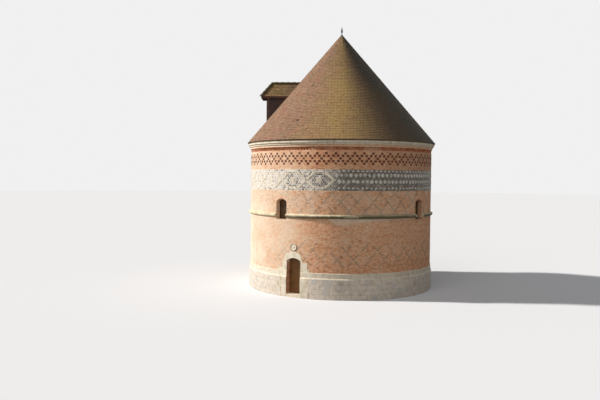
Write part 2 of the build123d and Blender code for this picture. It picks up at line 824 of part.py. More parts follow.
with BuildPart() as dormer_slope_left:
    mirror(dormer_slope.part, about=radial_plane(dormer_angle))
export(dormer_slope_left.part, "dormer_slope_left")

with BuildPart() as dormer_hip:
    with BuildSketch(dormer_side(-dormer_eave_side)):
        with BuildLine():
            Polyline((dormer_ridge_end, dormer_ridge), (dormer_eave_front, dormer_eave),
                     (dormer_eave_front, dormer_eave - dormer_cover),
                     (dormer_ridge_end, dormer_ridge - dormer_cover), close=True)
        make_face()
    extrude(amount=-2 * dormer_eave_side)
    split(bisect_by=hip_plane(1), keep=Keep.BOTTOM)
    split(bisect_by=hip_plane(-1), keep=Keep.BOTTOM)
export(dormer_hip.part, "dormer_hip")
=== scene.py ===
"""Looks of the round brick dovecote: bricks, flints, cut stone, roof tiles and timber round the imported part.

Metres, in the frame of the part: the axis at the origin, the door towards -Y.
Angles are in degrees, counter-clockwise from +X as seen from above.
"""

import bpy
import numpy as np
from mathutils import Matrix, Vector


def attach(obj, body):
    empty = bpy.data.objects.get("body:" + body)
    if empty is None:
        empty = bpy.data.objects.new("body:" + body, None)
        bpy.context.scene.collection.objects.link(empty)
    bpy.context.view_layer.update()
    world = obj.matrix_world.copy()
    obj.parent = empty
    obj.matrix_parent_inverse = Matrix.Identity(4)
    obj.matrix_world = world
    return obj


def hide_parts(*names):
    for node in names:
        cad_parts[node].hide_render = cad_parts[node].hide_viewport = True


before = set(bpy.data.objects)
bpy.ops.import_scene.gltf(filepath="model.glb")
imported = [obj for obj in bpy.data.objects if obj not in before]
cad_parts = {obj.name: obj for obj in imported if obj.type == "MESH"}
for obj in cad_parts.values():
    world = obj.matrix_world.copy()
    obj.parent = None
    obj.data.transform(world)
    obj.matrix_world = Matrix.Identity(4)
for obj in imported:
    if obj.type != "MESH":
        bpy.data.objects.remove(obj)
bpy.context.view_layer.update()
chance = np.random.default_rng(209)
link = bpy.context.scene.collection.objects.link

# Sizes of the part that the pieces are laid on
WALL = 4.800
PLINTH = 4.870
PLINTH_CAP = 4.830
PLINTH_HIGH = 0.942
CAP_HIGH = 1.240
STRING_FOOT = 3.820
EAVE_RADIUS = 4.970
EAVE_TOP = 7.555
APEX = 13.400
SLOPE = (APEX - EAVE_TOP) / EAVE_RADIUS
DOOR = -90.0
HALF_DOOR = 0.385
DOOR_SPRING = 1.685
ARCH_SHOULDER = 2.025
ARCH_RISE = 0.165
LEAF = 4.492
LEAF_BACK = 0.022
LEAF_FRONT = 0.023
REBATE = 4.522
ROUNDEL_LEVEL = 2.405
ROUNDEL_RADIUS = 0.205
WINDOWS = [-99.0, -9.0, 81.0, 171.0]
HALF_WINDOW = 0.324
WINDOW_SILL = 3.715
WINDOW_SPRING = 4.510
WINDOW_RISE = 0.190
WINDOW_CORNER = 0.110
WINDOW_REBATE = 4.554
WINDOW_BARS = 4.524
HEAD_WIDTH = HALF_WINDOW + 0.205
HEAD_RISE = 0.395
DORMER = 209.0
SUNNY_SIDE = -153.0

# Brick module: 272 headers of 111 mm go round the wall for 68 lozenges of 4, and 273 for 39 lozenges of 7.
# Every other course starts half a header along.
HEADERS = 272
DIAPER_HEADERS = 273
HEADER_PITCH = 360 / HEADERS
HEADER_START = -1.95
JOINT = 0.009

# Courses of the bricks in the reveals of the door and the windows
RETURN_COURSE = 0.0655

UP = np.array([0.0, 0.0, 1.0])

# Geometry


def unit(vectors):
    """Each vector divided by its length."""
    return vectors / np.maximum(np.linalg.norm(vectors, axis=-1, keepdims=True), 1e-9)


def wrapped(angle):
    """Angle brought between -180 and 180 degrees."""
    return (angle + 180) % 360 - 180


def polar(radius, angle, height):
    """Point at a radius and an angle in degrees: x = r cos a, y = r sin a, z = height, broadcast together."""
    radius, angle, height = np.broadcast_arrays(radius, np.radians(angle), height)
    return np.stack([radius * np.cos(angle), radius * np.sin(angle), height], axis=-1)


def outward(angle):
    """Level unit vector at an angle in degrees."""
    return polar(1.0, angle, 0.0)


def bay(angle, across, height, distance):
    """Point of an upright plane that faces the angle: distance out, then across to the left as seen from inside."""
    across, height, distance = (np.asarray(v)[..., None] for v in (across, height, distance))
    return distance * outward(angle) + across * outward(angle + 90) + height * UP


def skin(rings):
    """Closed solids from (solid, ring, point, xyz): quads join each ring to the next, and a ladder of quads
    closes both ends. A solid's faces are turned where its signed volume is negative."""
    count, ring_count, points = rings.shape[:3]
    index = np.arange(count * ring_count * points).reshape(count, ring_count, points)
    ahead = np.roll(index, -1, axis=2)
    sides = np.stack([index[:, :-1], ahead[:, :-1], ahead[:, 1:], index[:, 1:]], axis=-1).reshape(count, -1, 4)
    rung = np.arange(points // 2 - 1)
    ladder = np.stack([rung, rung + 1, points - 2 - rung, points - 1 - rung], axis=-1)
    foot = index[:, 0][:, ladder[:, ::-1]]
    head = index[:, -1][:, ladder]
    faces = np.concatenate([sides, foot, head], axis=1)
    corners = rings.reshape(-1, 3)
    a, b, c, d = (corners[faces[:, :, i]] - corners[faces[:, :1, 0]] for i in range(4))
    volume = np.sum(a * np.cross(b, c) + a * np.cross(c, d), axis=(1, 2))
    faces = np.where(volume[:, None, None] < 0, faces[:, :, ::-1], faces)
    return corners, faces.reshape(-1, 4)


def piece(name, rings, material, slot, body="building", **marks):
    """One mesh object from rings of closed solids. Each mark is a number for all or one per solid, kept on its
    points."""
    corners, faces = skin(rings)
    mesh = bpy.data.meshes.new(name)
    mesh.vertices.add(len(corners))
    mesh.vertices.foreach_set("co", corners.astype(np.float32).ravel())
    mesh.loops.add(faces.size)
    mesh.loops.foreach_set("vertex_index", faces.astype(np.int32).ravel())
    mesh.polygons.add(len(faces))
    mesh.polygons.foreach_set("loop_start", np.arange(0, faces.size, 4, dtype=np.int32))
    mesh.polygons.foreach_set("use_smooth", np.zeros(len(faces), bool))
    per_solid = rings.shape[1] * rings.shape[2]
    for mark, values in marks.items():
        layer = mesh.attributes.new(mark, "FLOAT", "POINT")
        values = np.repeat(np.broadcast_to(values, len(rings)), per_solid)
        layer.data.foreach_set("value", values.astype(np.float32))
    mesh.update()
    mesh.validate()
    mesh.materials.append(material)
    thing = bpy.data.objects.new(name, mesh)
    link(thing)
    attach(thing, body)
    return thing


def blocks(corners, normals, sunk, proud, chamfer):
    """Rings of flat blocks set in a surface: the outline sunk below it, the same outline near the face, and the
    outline drawn in by the chamfer along both of each corner's sides, on the face itself. The normals are one for
    all, one a block or one a corner."""
    corners, normals = np.asarray(corners), np.asarray(normals)
    if normals.ndim == 2:
        normals = normals[:, None]
    sunk, proud, chamfer = (np.reshape(np.asarray(v, float), (-1, 1, 1)) for v in (sunk, proud, chamfer))
    ahead = unit(np.roll(corners, -1, axis=1) - corners)
    behind = unit(np.roll(corners, 1, axis=1) - corners)
    back = corners - normals * sunk
    shoulder = corners + normals * (proud - chamfer)
    face = corners + normals * proud + (ahead + behind) * chamfer
    return np.stack([back, shoulder, face], axis=1)


def wall_corners(start, end, low, high, radius):
    """Four corners on the round wall of each block, from its angles and heights."""
    angle = np.stack([start, end, end, start], axis=1)
    height = np.stack([low, low, high, high], axis=1)
    return polar(radius, angle, height), outward(angle)


def cut_by(start, end, gaps, least):
    """Blocks as (start, end) angles, shortened where they run into a gap, without those left shorter than least."""
    for low, high in gaps:
        middle = (low + high) / 2
        turn = np.round((middle - (start + end) / 2) / 360) * 360
        low_here = low - turn
        high_here = high - turn
        start, end = (np.where((start >= low_here) & (start < high_here), high_here, start),
                      np.where((end > low_here) & (end <= high_here), low_here, end))
    keep = end - start > least
    return start, end, keep


def moulding(name, outline, back, starts, ends, gaps, material, slot, joint=0.006, steps=4, **marks):
    """Cut stones round the tower: an outline of (radius, height) carried through each stone's arc, closed by the
    same heights at the back radius. Stones are cut at the gaps and kept apart by a joint. Each mark is a rule that
    gives a stone's value from its angle."""
    starts, ends, keep = cut_by(starts, ends, gaps, 1.0)
    gap = np.degrees(joint / 2 / WALL)
    starts = starts[keep] + gap
    ends = ends[keep] - gap
    share = np.linspace(0, 1, steps + 1)
    angle = starts[:, None] + (ends - starts)[:, None] * share
    radius = np.array([r for r, z in outline] + [back] * len(outline))
    height = np.array([z for r, z in outline + outline[::-1]])
    wobble = chance.normal(0, 0.0015, (len(starts), 1, 1))
    rings = polar(radius + wobble, angle[:, :, None], height)
    middle = (starts + ends) / 2
    values = {mark: rule(middle) for mark, rule in marks.items()}
    # Painted shade: stones are painted darker the farther they face from the sunlit side, on top of a random tone
    shaded = 1 - np.clip(np.cos(np.radians(middle - SUNNY_SIDE)), 0, 1)
    return piece(name, rings, material, slot, tone=0.4 * chance.random(len(starts)) + 0.6 * shaded, **values)


# Materials

TINTED = {"data_type": "RGBA", "out": 2}
MULTIPLIED = {"data_type": "RGBA", "blend_type": "MULTIPLY", "out": 2}


def linear(code):
    """Linear colour with alpha from an sRGB hex code: below 0.04045 divided by 12.92, else the 2.4 power curve."""
    value = np.array([int(code[i:i + 2], 16) for i in (1, 3, 5)]) / 255
    value = np.where(value <= 0.04045, value / 12.92, ((value + 0.055) / 1.055) ** 2.4)
    return (*value.tolist(), 1.0)


def add(tree, kind, inputs=None, stops=None, out=0, **settings):
    """Add a node: settings on the node, values or sockets on its inputs, and colour stops on a ramp. One of its
    outputs comes back."""
    made = tree.nodes.new("ShaderNode" + kind)
    for key, value in settings.items():
        setattr(made, key, value)
    for key, value in (inputs or {}).items():
        if isinstance(value, bpy.types.NodeSocket):
            tree.links.new(value, made.inputs[key])
        else:
            made.inputs[key].default_value = value
    if stops:
        elements = made.color_ramp.elements
        while len(elements) < len(stops):
            elements.new(0.5)
        for element, (place, code) in zip(elements, stops):
            element.position = place
            element.color = linear(code)
    return made.outputs[out] if made.outputs else None


def empty_tree(owner):
    """Node tree of a material or a world, emptied."""
    owner.use_nodes = True
    owner.node_tree.nodes.clear()
    return owner.node_tree


def start_material(name, roughness, marks="", **values):
    """New material, its node tree and shader, the object's own coordinates, and each mark that its pieces carry."""
    material = bpy.data.materials.new(name)
    tree = empty_tree(material)
    shader = add(tree, "BsdfPrincipled", {"Roughness": roughness, **values})
    add(tree, "OutputMaterial", {"Surface": shader})
    place = add(tree, "TexCoord", out="Object")
    found = [add(tree, "Attribute", out="Fac", attribute_name=mark) for mark in marks.split()]
    return material, tree, shader, place, *found


def end_material(material, shader, colour, relief, strength, depth):
    """Material with its colour joined to the shader, and its relief as bumps of a depth in metres."""
    tree = material.node_tree
    bump = add(tree, "Bump", {"Height": relief, "Strength": strength, "Distance": depth})
    tree.links.new(colour, shader.node.inputs["Base Color"])
    tree.links.new(bump, shader.node.inputs["Normal"])
    return material


def brick_material():
    """Hand-made clay brick, sand-faced and fired in a clamp: orange-pink to buff with some burnt ones, and headers
    whose ends the wood fire glazed grey to brown-black. Dull, with grit of 2 to 4 mm drawn at 12 mm so that it
    shows, and pale cream by a mark on the pieces: lime bloom, and on the sunlit side a painted highlight."""
    material, tree, shader, place, tone, kind, bloom = start_material("clamp_fired_brick", 0.88, "tone kind bloom")
    clay = add(tree, "ValToRGB", {0: tone}, [(0.0, "#AC6340"), (0.22, "#D08C64"), (0.5, "#E5AF88"),
                                             (0.78, "#ECC2A0"), (1.0, "#F0D0B4")])
    grain = add(tree, "TexNoise", {"Vector": place, "Scale": 30.0, "Detail": 8.0, "Roughness": 0.65})
    speck = add(tree, "ValToRGB", {0: grain}, [(0.30, "#A49080"), (0.50, "#FFFFFF"), (0.75, "#FFF6EC")])
    mixed = add(tree, "Mix", {0: 0.5, 6: clay, 7: speck}, **MULTIPLIED)
    glaze = add(tree, "ValToRGB", {0: kind}, [(0.4, "#7E7062"), (0.8, "#52220E")])
    dark = add(tree, "MapRange", {0: kind, 2: 0.65, 4: 0.95})
    glazed = add(tree, "Mix", {0: dark, 6: mixed, 7: glaze}, **TINTED)
    patch = add(tree, "TexNoise", {"Vector": place, "Scale": 1.3, "Detail": 6.0, "Roughness": 0.65})
    # Pale cream by the mark: lime bloom, and on the sunlit side a painted highlight
    total = add(tree, "Math", {0: bloom, 1: 0.6, 2: patch}, operation="MULTIPLY_ADD")
    share = add(tree, "MapRange", {0: total, 1: 0.52, 4: 0.85})
    done = add(tree, "Mix", {0: share, 6: glazed, 7: linear("#EFE1CF")}, **TINTED)
    return end_material(material, shader, done, grain, 0.5, 0.004)


def mortar_material(name, greyed=False):
    """Lime mortar with coarse river sand: cream to buff, dull, grains of 1 to 3 mm drawn at 6 mm so that they show.
    Soot makes it grey, but for the side of the panel of crosses, which the rain washes."""
    material, tree, shader, place = start_material(name, 0.95)
    grain = add(tree, "TexNoise", {"Vector": place, "Scale": 40.0, "Detail": 6.0, "Roughness": 0.7})
    stain = add(tree, "TexNoise", {"Vector": place, "Scale": 1.1, "Detail": 5.0})
    sand = add(tree, "ValToRGB", {0: grain}, [(0.3, "#B09A80"), (0.55, "#D3BFA3"), (0.8, "#E2D3BC")])
    age = add(tree, "ValToRGB", {0: stain}, [(0.35, "#C4B49C"), (0.6, "#FFFFFF")])
    done = add(tree, "Mix", {0: 0.6, 6: sand, 7: age}, **MULTIPLIED)
    if greyed:
        side = add(tree, "VectorMath", {0: place, 1: tuple(outward(-104.0))}, out="Value", operation="DOT_PRODUCT")
        share = add(tree, "MapRange", {0: side, 1: 3.9, 2: 3.55})
        soot = add(tree, "ValToRGB", {0: share}, [(0.0, "#E4DDD4"), (1.0, "#7E776C")])
        done = add(tree, "Mix", {0: 0.8, 6: done, 7: soot}, **TINTED)
    return end_material(material, shader, done, grain, 0.5, 0.005)


def limestone_material(name, pale, middle, stained, mossy=False):
    """Soft limestone, sawn and dragged smooth: pale, weathered darker in patches of a hand's breadth, pitted at 5 to
    20 mm. Moss takes the damp patches and the undersides, as far as the moss mark lets it; on the undersides its
    dark olive is also painted shade."""
    material, tree, shader, place, tone = start_material(name, 0.85, "tone")
    patch = add(tree, "TexNoise", {"Vector": place, "Scale": 4.5, "Detail": 8.0, "Roughness": 0.62})
    base = add(tree, "ValToRGB", {0: patch}, [(0.28, stained), (0.45, middle), (0.62, pale)])
    # The tone mark darkens a stone by up to 14%; on the mouldings it carries painted shade
    each = add(tree, "MapRange", {0: tone, 3: 1.0, 4: 0.86})
    toned = add(tree, "Mix", {0: 1.0, 6: base, 7: each}, **MULTIPLIED)
    pits = add(tree, "TexNoise", {"Vector": place, "Scale": 60.0, "Detail": 4.0, "Roughness": 0.7})
    pit = add(tree, "ValToRGB", {0: pits}, [(0.30, "#8C8374"), (0.42, "#FFFFFF")])
    done = add(tree, "Mix", {0: 0.6, 6: toned, 7: pit}, **MULTIPLIED)
    if mossy:
        damp = add(tree, "TexNoise", {"Vector": place, "Scale": 2.2, "Detail": 7.0, "Roughness": 0.7})
        # Downward faces take more moss: dark olive that is also painted shade under the moulding
        facing = add(tree, "SeparateXYZ", {0: add(tree, "NewGeometry", out="Normal")}, out="Z")
        under = add(tree, "MapRange", {0: facing, 1: 0.25, 2: -0.35, 3: 0.35})
        moss = add(tree, "Attribute", out="Fac", attribute_name="moss")
        reach = add(tree, "Math", {0: under, 1: moss}, operation="MULTIPLY")
        total = add(tree, "Math", {0: damp, 1: 0.6, 2: reach}, operation="MULTIPLY_ADD")
        share = add(tree, "MapRange", {0: total, 1: 0.52, 2: 0.86, 4: 0.96})
        done = add(tree, "Mix", {0: share, 6: done, 7: linear("#585034")}, **TINTED)
    return end_material(material, shader, done, pits, 0.35, 0.004)


def flint_material():
    """Knapped flint: glassy grey to black inside and chalky white in its rind, so the faces run from dark to pale by
    the tone mark and catch light. The kind mark says how far a face is dull chalk instead."""
    material, tree, shader, place, tone, kind = start_material("knapped_flint", 0.45, "tone kind")
    body = add(tree, "ValToRGB", {0: tone}, [(0.0, "#3E3D39"), (0.3, "#5E5C57"), (0.55, "#837F78"),
                                             (0.8, "#C2B8AE"), (1.0, "#E8E2DA")])
    cloud = add(tree, "TexNoise", {"Vector": place, "Scale": 22.0, "Detail": 5.0, "Roughness": 0.6})
    rind = add(tree, "ValToRGB", {0: cloud}, [(0.35, "#7E7C78"), (0.56, "#FFFFFF")])
    stone = add(tree, "Mix", {0: 0.7, 6: body, 7: rind}, **MULTIPLIED)
    chalk = add(tree, "ValToRGB", {0: cloud}, [(0.3, "#D6CFC6"), (0.6, "#F0EBE4")])
    done = add(tree, "Mix", {0: kind, 6: stone, 7: chalk}, **TINTED)
    rough = add(tree, "MapRange", {0: kind, 3: 0.42, 4: 0.85})
    tree.links.new(rough, shader.node.inputs["Roughness"])
    return end_material(material, shader, done, cloud, 0.5, 0.006)


def tile_material():
    """Plain clay roof tile, hand pressed: brown-pink, a little different from tile to tile, and redder or greyer
    from one kiln load of half a metre to the next. Olive moss grows where the moss mark has some, in patches of
    about a metre. A darkening mark multiplies the colour towards grey-green: painted shade on the shaded side of
    the cone, and elsewhere the darker tiles that each piece asks for. Dull, with a 3 mm grit and lichen spots of
    30 to 100 mm."""
    material, tree, shader, place, tone, moss, soot = start_material("plain_clay_tile", 0.9, "tone moss soot")
    clay = add(tree, "ValToRGB", {0: tone}, [(0.0, "#6E5240"), (0.4, "#8A6B56"), (0.7, "#987862"), (1.0, "#A5846F")])
    patch = add(tree, "TexNoise", {"Vector": place, "Scale": 1.1, "Detail": 8.0, "Roughness": 0.65})
    rough = add(tree, "MapRange", {0: patch, 1: 0.36, 2: 0.62, 3: 0.45, 4: 1.0})
    share = add(tree, "Math", {0: rough, 1: moss}, operation="MULTIPLY")
    drift = add(tree, "TexNoise", {"Vector": place, "Scale": 2.3, "Detail": 6.0, "Roughness": 0.6})
    rosy = add(tree, "ValToRGB", {0: drift}, [(0.38, "#EEF2DC"), (0.5, "#FFFFFF"), (0.66, "#FFE8DE")])
    fired = add(tree, "Mix", {0: 1.0, 6: clay, 7: rosy}, **MULTIPLIED)
    mossy = add(tree, "Mix", {0: share, 6: fired, 7: linear("#A08450")}, **TINTED)
    lichen = add(tree, "TexNoise", {"Vector": place, "Scale": 9.0, "Detail": 8.0, "Roughness": 0.7})
    spots = add(tree, "ValToRGB", {0: lichen}, [(0.32, "#8A7A6A"), (0.50, "#FFFFFF"), (0.72, "#FFFAF0")])
    spotted = add(tree, "Mix", {0: 0.6, 6: mossy, 7: spots}, **MULTIPLIED)
    # Painted shade: this mark multiplies the colour towards a grey-green
    dim = add(tree, "MapRange", {0: soot, 2: 1.36})
    done = add(tree, "Mix", {0: dim, 6: spotted, 7: linear("#565D59")}, **MULTIPLIED)
    return end_material(material, shader, done, lichen, 0.4, 0.006)


def timber_material(name, dark, light, along="Z", ring=0.012, roughness=0.8):
    """Sawn timber: growth rings about 12 mm apart, stretched ten times along the grain, dark and light bands with
    fine pores, dull unless it is oiled."""
    material, tree, shader, place = start_material(name, roughness)
    squeeze = [0.1 if axis == along else 1.0 for axis in "XYZ"]
    stretched = add(tree, "Mapping", {"Vector": place, "Scale": squeeze})
    grain = add(tree, "TexNoise", {"Vector": stretched, "Scale": 1 / ring, "Detail": 6.0, "Roughness": 0.6,
                                   "Distortion": 0.4})
    weather = add(tree, "TexNoise", {"Vector": place, "Scale": 3.0, "Detail": 5.0})
    bands = add(tree, "ValToRGB", {0: grain}, [(0.3, dark), (0.7, light)])
    wear_and_shade = add(tree, "ValToRGB", {0: weather}, [(0.35, "#8C8C8C"), (0.6, "#FFFFFF")])
    done = add(tree, "Mix", {0: 0.6, 6: bands, 7: wear_and_shade}, **MULTIPLIED)
    return end_material(material, shader, done, grain, 0.3, 0.003)


def metal_material(name, dark, light, roughness, metallic):
    """Weathered metal: a dull skin whose colour drifts over a few centimetres, with fine pitting."""
    material, tree, shader, place = start_material(name, roughness, Metallic=metallic)
    drift = add(tree, "TexNoise", {"Vector": place, "Scale": 18.0, "Detail": 7.0, "Roughness": 0.65})
    colour = add(tree, "ValToRGB", {0: drift}, [(0.35, dark), (0.65, light)])
    return end_material(material, shader, colour, drift, 0.2, 0.002)


def paving_material():
    """Square clay floor tiles of 200 mm, worn and dusty, with a 6 mm lime joint."""
    material, tree, shader, place = start_material("clay_floor_tile", 0.8)
    tiles = add(tree, "TexBrick", {"Vector": place, "Scale": 1.0, "Color1": linear("#9A6448"),
                                   "Color2": linear("#7E5240"), "Mortar": linear("#B8A68C"), "Mortar Size": 0.003,
                                   "Brick Width": 0.2, "Row Height": 0.2}, offset=0.0)
    dust = add(tree, "TexNoise", {"Vector": place, "Scale": 3.0, "Detail": 6.0})
    done = add(tree, "Mix", {0: dust, 6: tiles, 7: linear("#A88E74")}, **TINTED)
    return end_material(material, shader, done, tiles.node.outputs[1], 0.4, -0.003)


def glass_material():
    """Old crown glass, brown with dust inside and out, half glossy, faintly rippled."""
    material, tree, shader, place = start_material("dusty_window_glass", 0.35, IOR=1.5)
    ripple = add(tree, "TexNoise", {"Vector": place, "Scale": 9.0, "Detail": 2.0})
    colour = add(tree, "ValToRGB", {0: ripple}, [(0.3, "#463320"), (0.7, "#64492A")])
    return end_material(material, shader, colour, ripple, 0.1, 0.002)


brick = brick_material()
mortar = mortar_material("lime_mortar")
band_mortar = mortar_material("sooty_lime_mortar", greyed=True)
limestone = limestone_material("sawn_limestone", "#ECE2D0", "#E0D4BF", "#BCAE98")
inlay_stone = limestone_material("weathered_inlay_limestone", "#E2DED8", "#CCC7BF", "#98928A")
plinth_stone = limestone_material("chalky_limestone", "#E9DED2", "#DDD1C3", "#BBAE9E")
darker_rim_stone = limestone_material("darker_rim_limestone", "#CDBFA8", "#B3A38A", "#8C7C64")
string_stone = limestone_material("mossy_limestone", "#EADFC4", "#DACCAA", "#A89A76", mossy=True)
flint = flint_material()
tile = tile_material()
bedding = timber_material("roof_boards", "#4A3826", "#6A523A")
dormer_paint = timber_material("tarred_softwood", "#281611", "#462A20", roughness=0.75)
frame_paint = timber_material("weathered_softwood", "#4A3A30", "#6E5848", roughness=0.8)
red_paint = timber_material("red_ochre_board", "#3A1512", "#5A261E", along="X", roughness=0.7)
oak = timber_material("hewn_oak", "#4E3A26", "#7C6040", roughness=0.85)
door_oak = timber_material("oiled_oak_boards", "#5A3414", "#8E6426", roughness=0.55)
window_oak = timber_material("painted_window_oak", "#3A2818", "#543C26", roughness=0.7)
iron = metal_material("forged_iron", "#17130F", "#2E241C", 0.6, 0.7)
lead = metal_material("weathered_lead", "#33413F", "#566462", 0.6, 0.3)
paving = paving_material()
glass = glass_material()

finishes = {
    mortar: ["door_head_wall", "eaves_courses", "lattice_band"],
    band_mortar: ["flint_band"],
    limestone: ["door_arch_stones", "door_jambs", "door_roundel", "threshold", "cornice"],
    string_stone: ["string_course"],
    bedding: ["roof_left", "roof_front", "roof_right", "roof_back", "dormer_slope_left", "dormer_slope_right",
              "dormer_hip"],
    dormer_paint: ["dormer_cheeks", "flight_board"],
    frame_paint: ["dormer_frame", "landing_ledges"],
    oak: ["inner_lintel", "king_post", "rafters", "wall_plate"],
    window_oak: ["window_frames"],
    iron: ["door_latch", "strap_hinges", "pintles"],
    lead: ["finial"],
    paving: ["floor_paving"],
    glass: ["window_panes"],
}
for side in ("front", "right", "back", "left"):
    finishes[mortar] += [f"lower_wall_{side}", f"window_wall_{side}", f"plinth_{side}"]
for material, names in finishes.items():
    for name in names:
        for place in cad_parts[name].material_slots:
            place.material = material


# Openings in the wall, as gaps in angle at a height

left_reach = [(0.15, 0.300), (0.48, 0.300), (0.78, 0.430), (1.01, 0.290), (1.21, 0.400), (1.40, 0.500),
              (1.685, 0.260)]
right_reach = [(0.15, 0.420), (0.48, 0.420), (0.78, 0.290), (1.01, 0.400), (1.17, 0.300), (1.39, 0.445),
               (1.685, 0.350)]


def gap_of(angle, half_width):
    """Gap in angle of an opening that reaches half its width to both sides."""
    half = np.degrees(np.arcsin(half_width / WALL))
    return angle - half, angle + half


def surround_gap(height):
    """Gap of the door's stones at a height: the jamb stones' reach, then the arch stones' sloping sides, then the
    circle through their shoulders and crown."""
    halves = []
    for reaches, spring, shoulder in ((left_reach, 0.610, 0.49), (right_reach, 0.500, 0.38)):
        if height < DOOR_SPRING:
            half = HALF_DOOR + next(reach for top, reach in reaches if height <= top)
        elif height < ARCH_SHOULDER:
            half = spring - 0.12 * (height - DOOR_SPRING) / 0.34
        else:
            radius = (shoulder ** 2 + ARCH_RISE ** 2) / (2 * ARCH_RISE)
            half = np.sqrt(max(0.0, radius ** 2 - (radius - ARCH_RISE + height - ARCH_SHOULDER) ** 2))
        halves.append(half + 0.012)
    return gap_of(DOOR, halves[0])[0], gap_of(DOOR, halves[1])[1]


def openings_at(height):
    """Every gap that a course at this height is cut by: the door's stones, the roundel, the windows and the
    half-ellipses of their heads."""
    gaps = []
    if height < ARCH_SHOULDER + ARCH_RISE:
        gaps.append(surround_gap(height))
    if abs(height - ROUNDEL_LEVEL) < ROUNDEL_RADIUS:
        gaps.append(gap_of(DOOR, np.sqrt(ROUNDEL_RADIUS ** 2 - (height - ROUNDEL_LEVEL) ** 2)))
    share = (height - WINDOW_SPRING) / (HEAD_RISE + 0.010)
    if WINDOW_SILL < height < WINDOW_SPRING:
        gaps += [gap_of(angle, HALF_WINDOW + 0.004) for angle in WINDOWS]
    if 0 <= share < 1:
        gaps += [gap_of(angle, (HEAD_WIDTH + 0.010) * np.sqrt(1 - share ** 2)) for angle in WINDOWS]
    return gaps


# Brickwork: every course is of headers, as round walls are, with patterns of dark glazed ones


def lime_bloom_and_highlight(angle, height):
    """Share of pale cream on the wall, by interpolation in the angle: on the sunlit side, left of the door, a painted
    highlight, and lime bloom under the string course in tongues that are longest right of the middle."""
    angle = wrapped(angle)
    # Painted highlight: pale cream that stands for the glare on the sunlit side
    painted_highlight = np.interp(angle, [-180, -160, -138, -120, -100, -90, -80, -70, 160, 180],
                          [0.12, 0.35, 0.7, 0.56, 0.3, 0.17, 0.07, 0.0, 0.0, 0.12])
    tongue = np.interp(angle, [-70, -66, -60, -56, -42, -33, -12, 40, 60, 80],
                       [0.02, 0.4, 0.45, 0.28, 0.24, 0.15, 0.1, 0.08, 0.3, 0.08])
    below = STRING_FOOT - height
    under = np.where(below > 0, np.clip(1.15 - below / tongue, 0, 1), 0)
    thin = np.where((height > 4.0) & (height < 5.2), 0.17, 0)
    return np.maximum(painted_highlight, np.maximum(0.9 * under, thin)) - 0.2 * (height > 6.0)


def on_lozenge(place, rise, width):
    """Whether headers lie on the sides of lozenges: the place along the wall, plus or minus the rise over a
    crossing, is a whole number of widths, all counted in headers."""
    return ((place - rise) % width == 0) | ((place + rise) % width == 0)


def lattice(place, course):
    """Lozenges 4 headers wide, drawn by one header in every other course, from the fifth to the thirteenth."""
    return np.where(on_lozenge(place, (course - 4) / 2, 4) & (course in range(4, 13, 2)), 1.0, 0.0)


def diaper(crossing, across, lost, kind):
    """Rule for lozenges 7 headers wide, drawn by one header a course, with a share of the headers lost. One crossing
    is at the place across in the crossing course."""
    def rule(place, course):
        kept = chance.random(place.shape) > lost(course)
        return np.where(on_lozenge(place - across, (course - crossing) / 2, 7) & kept, kind, 0.0)
    return rule


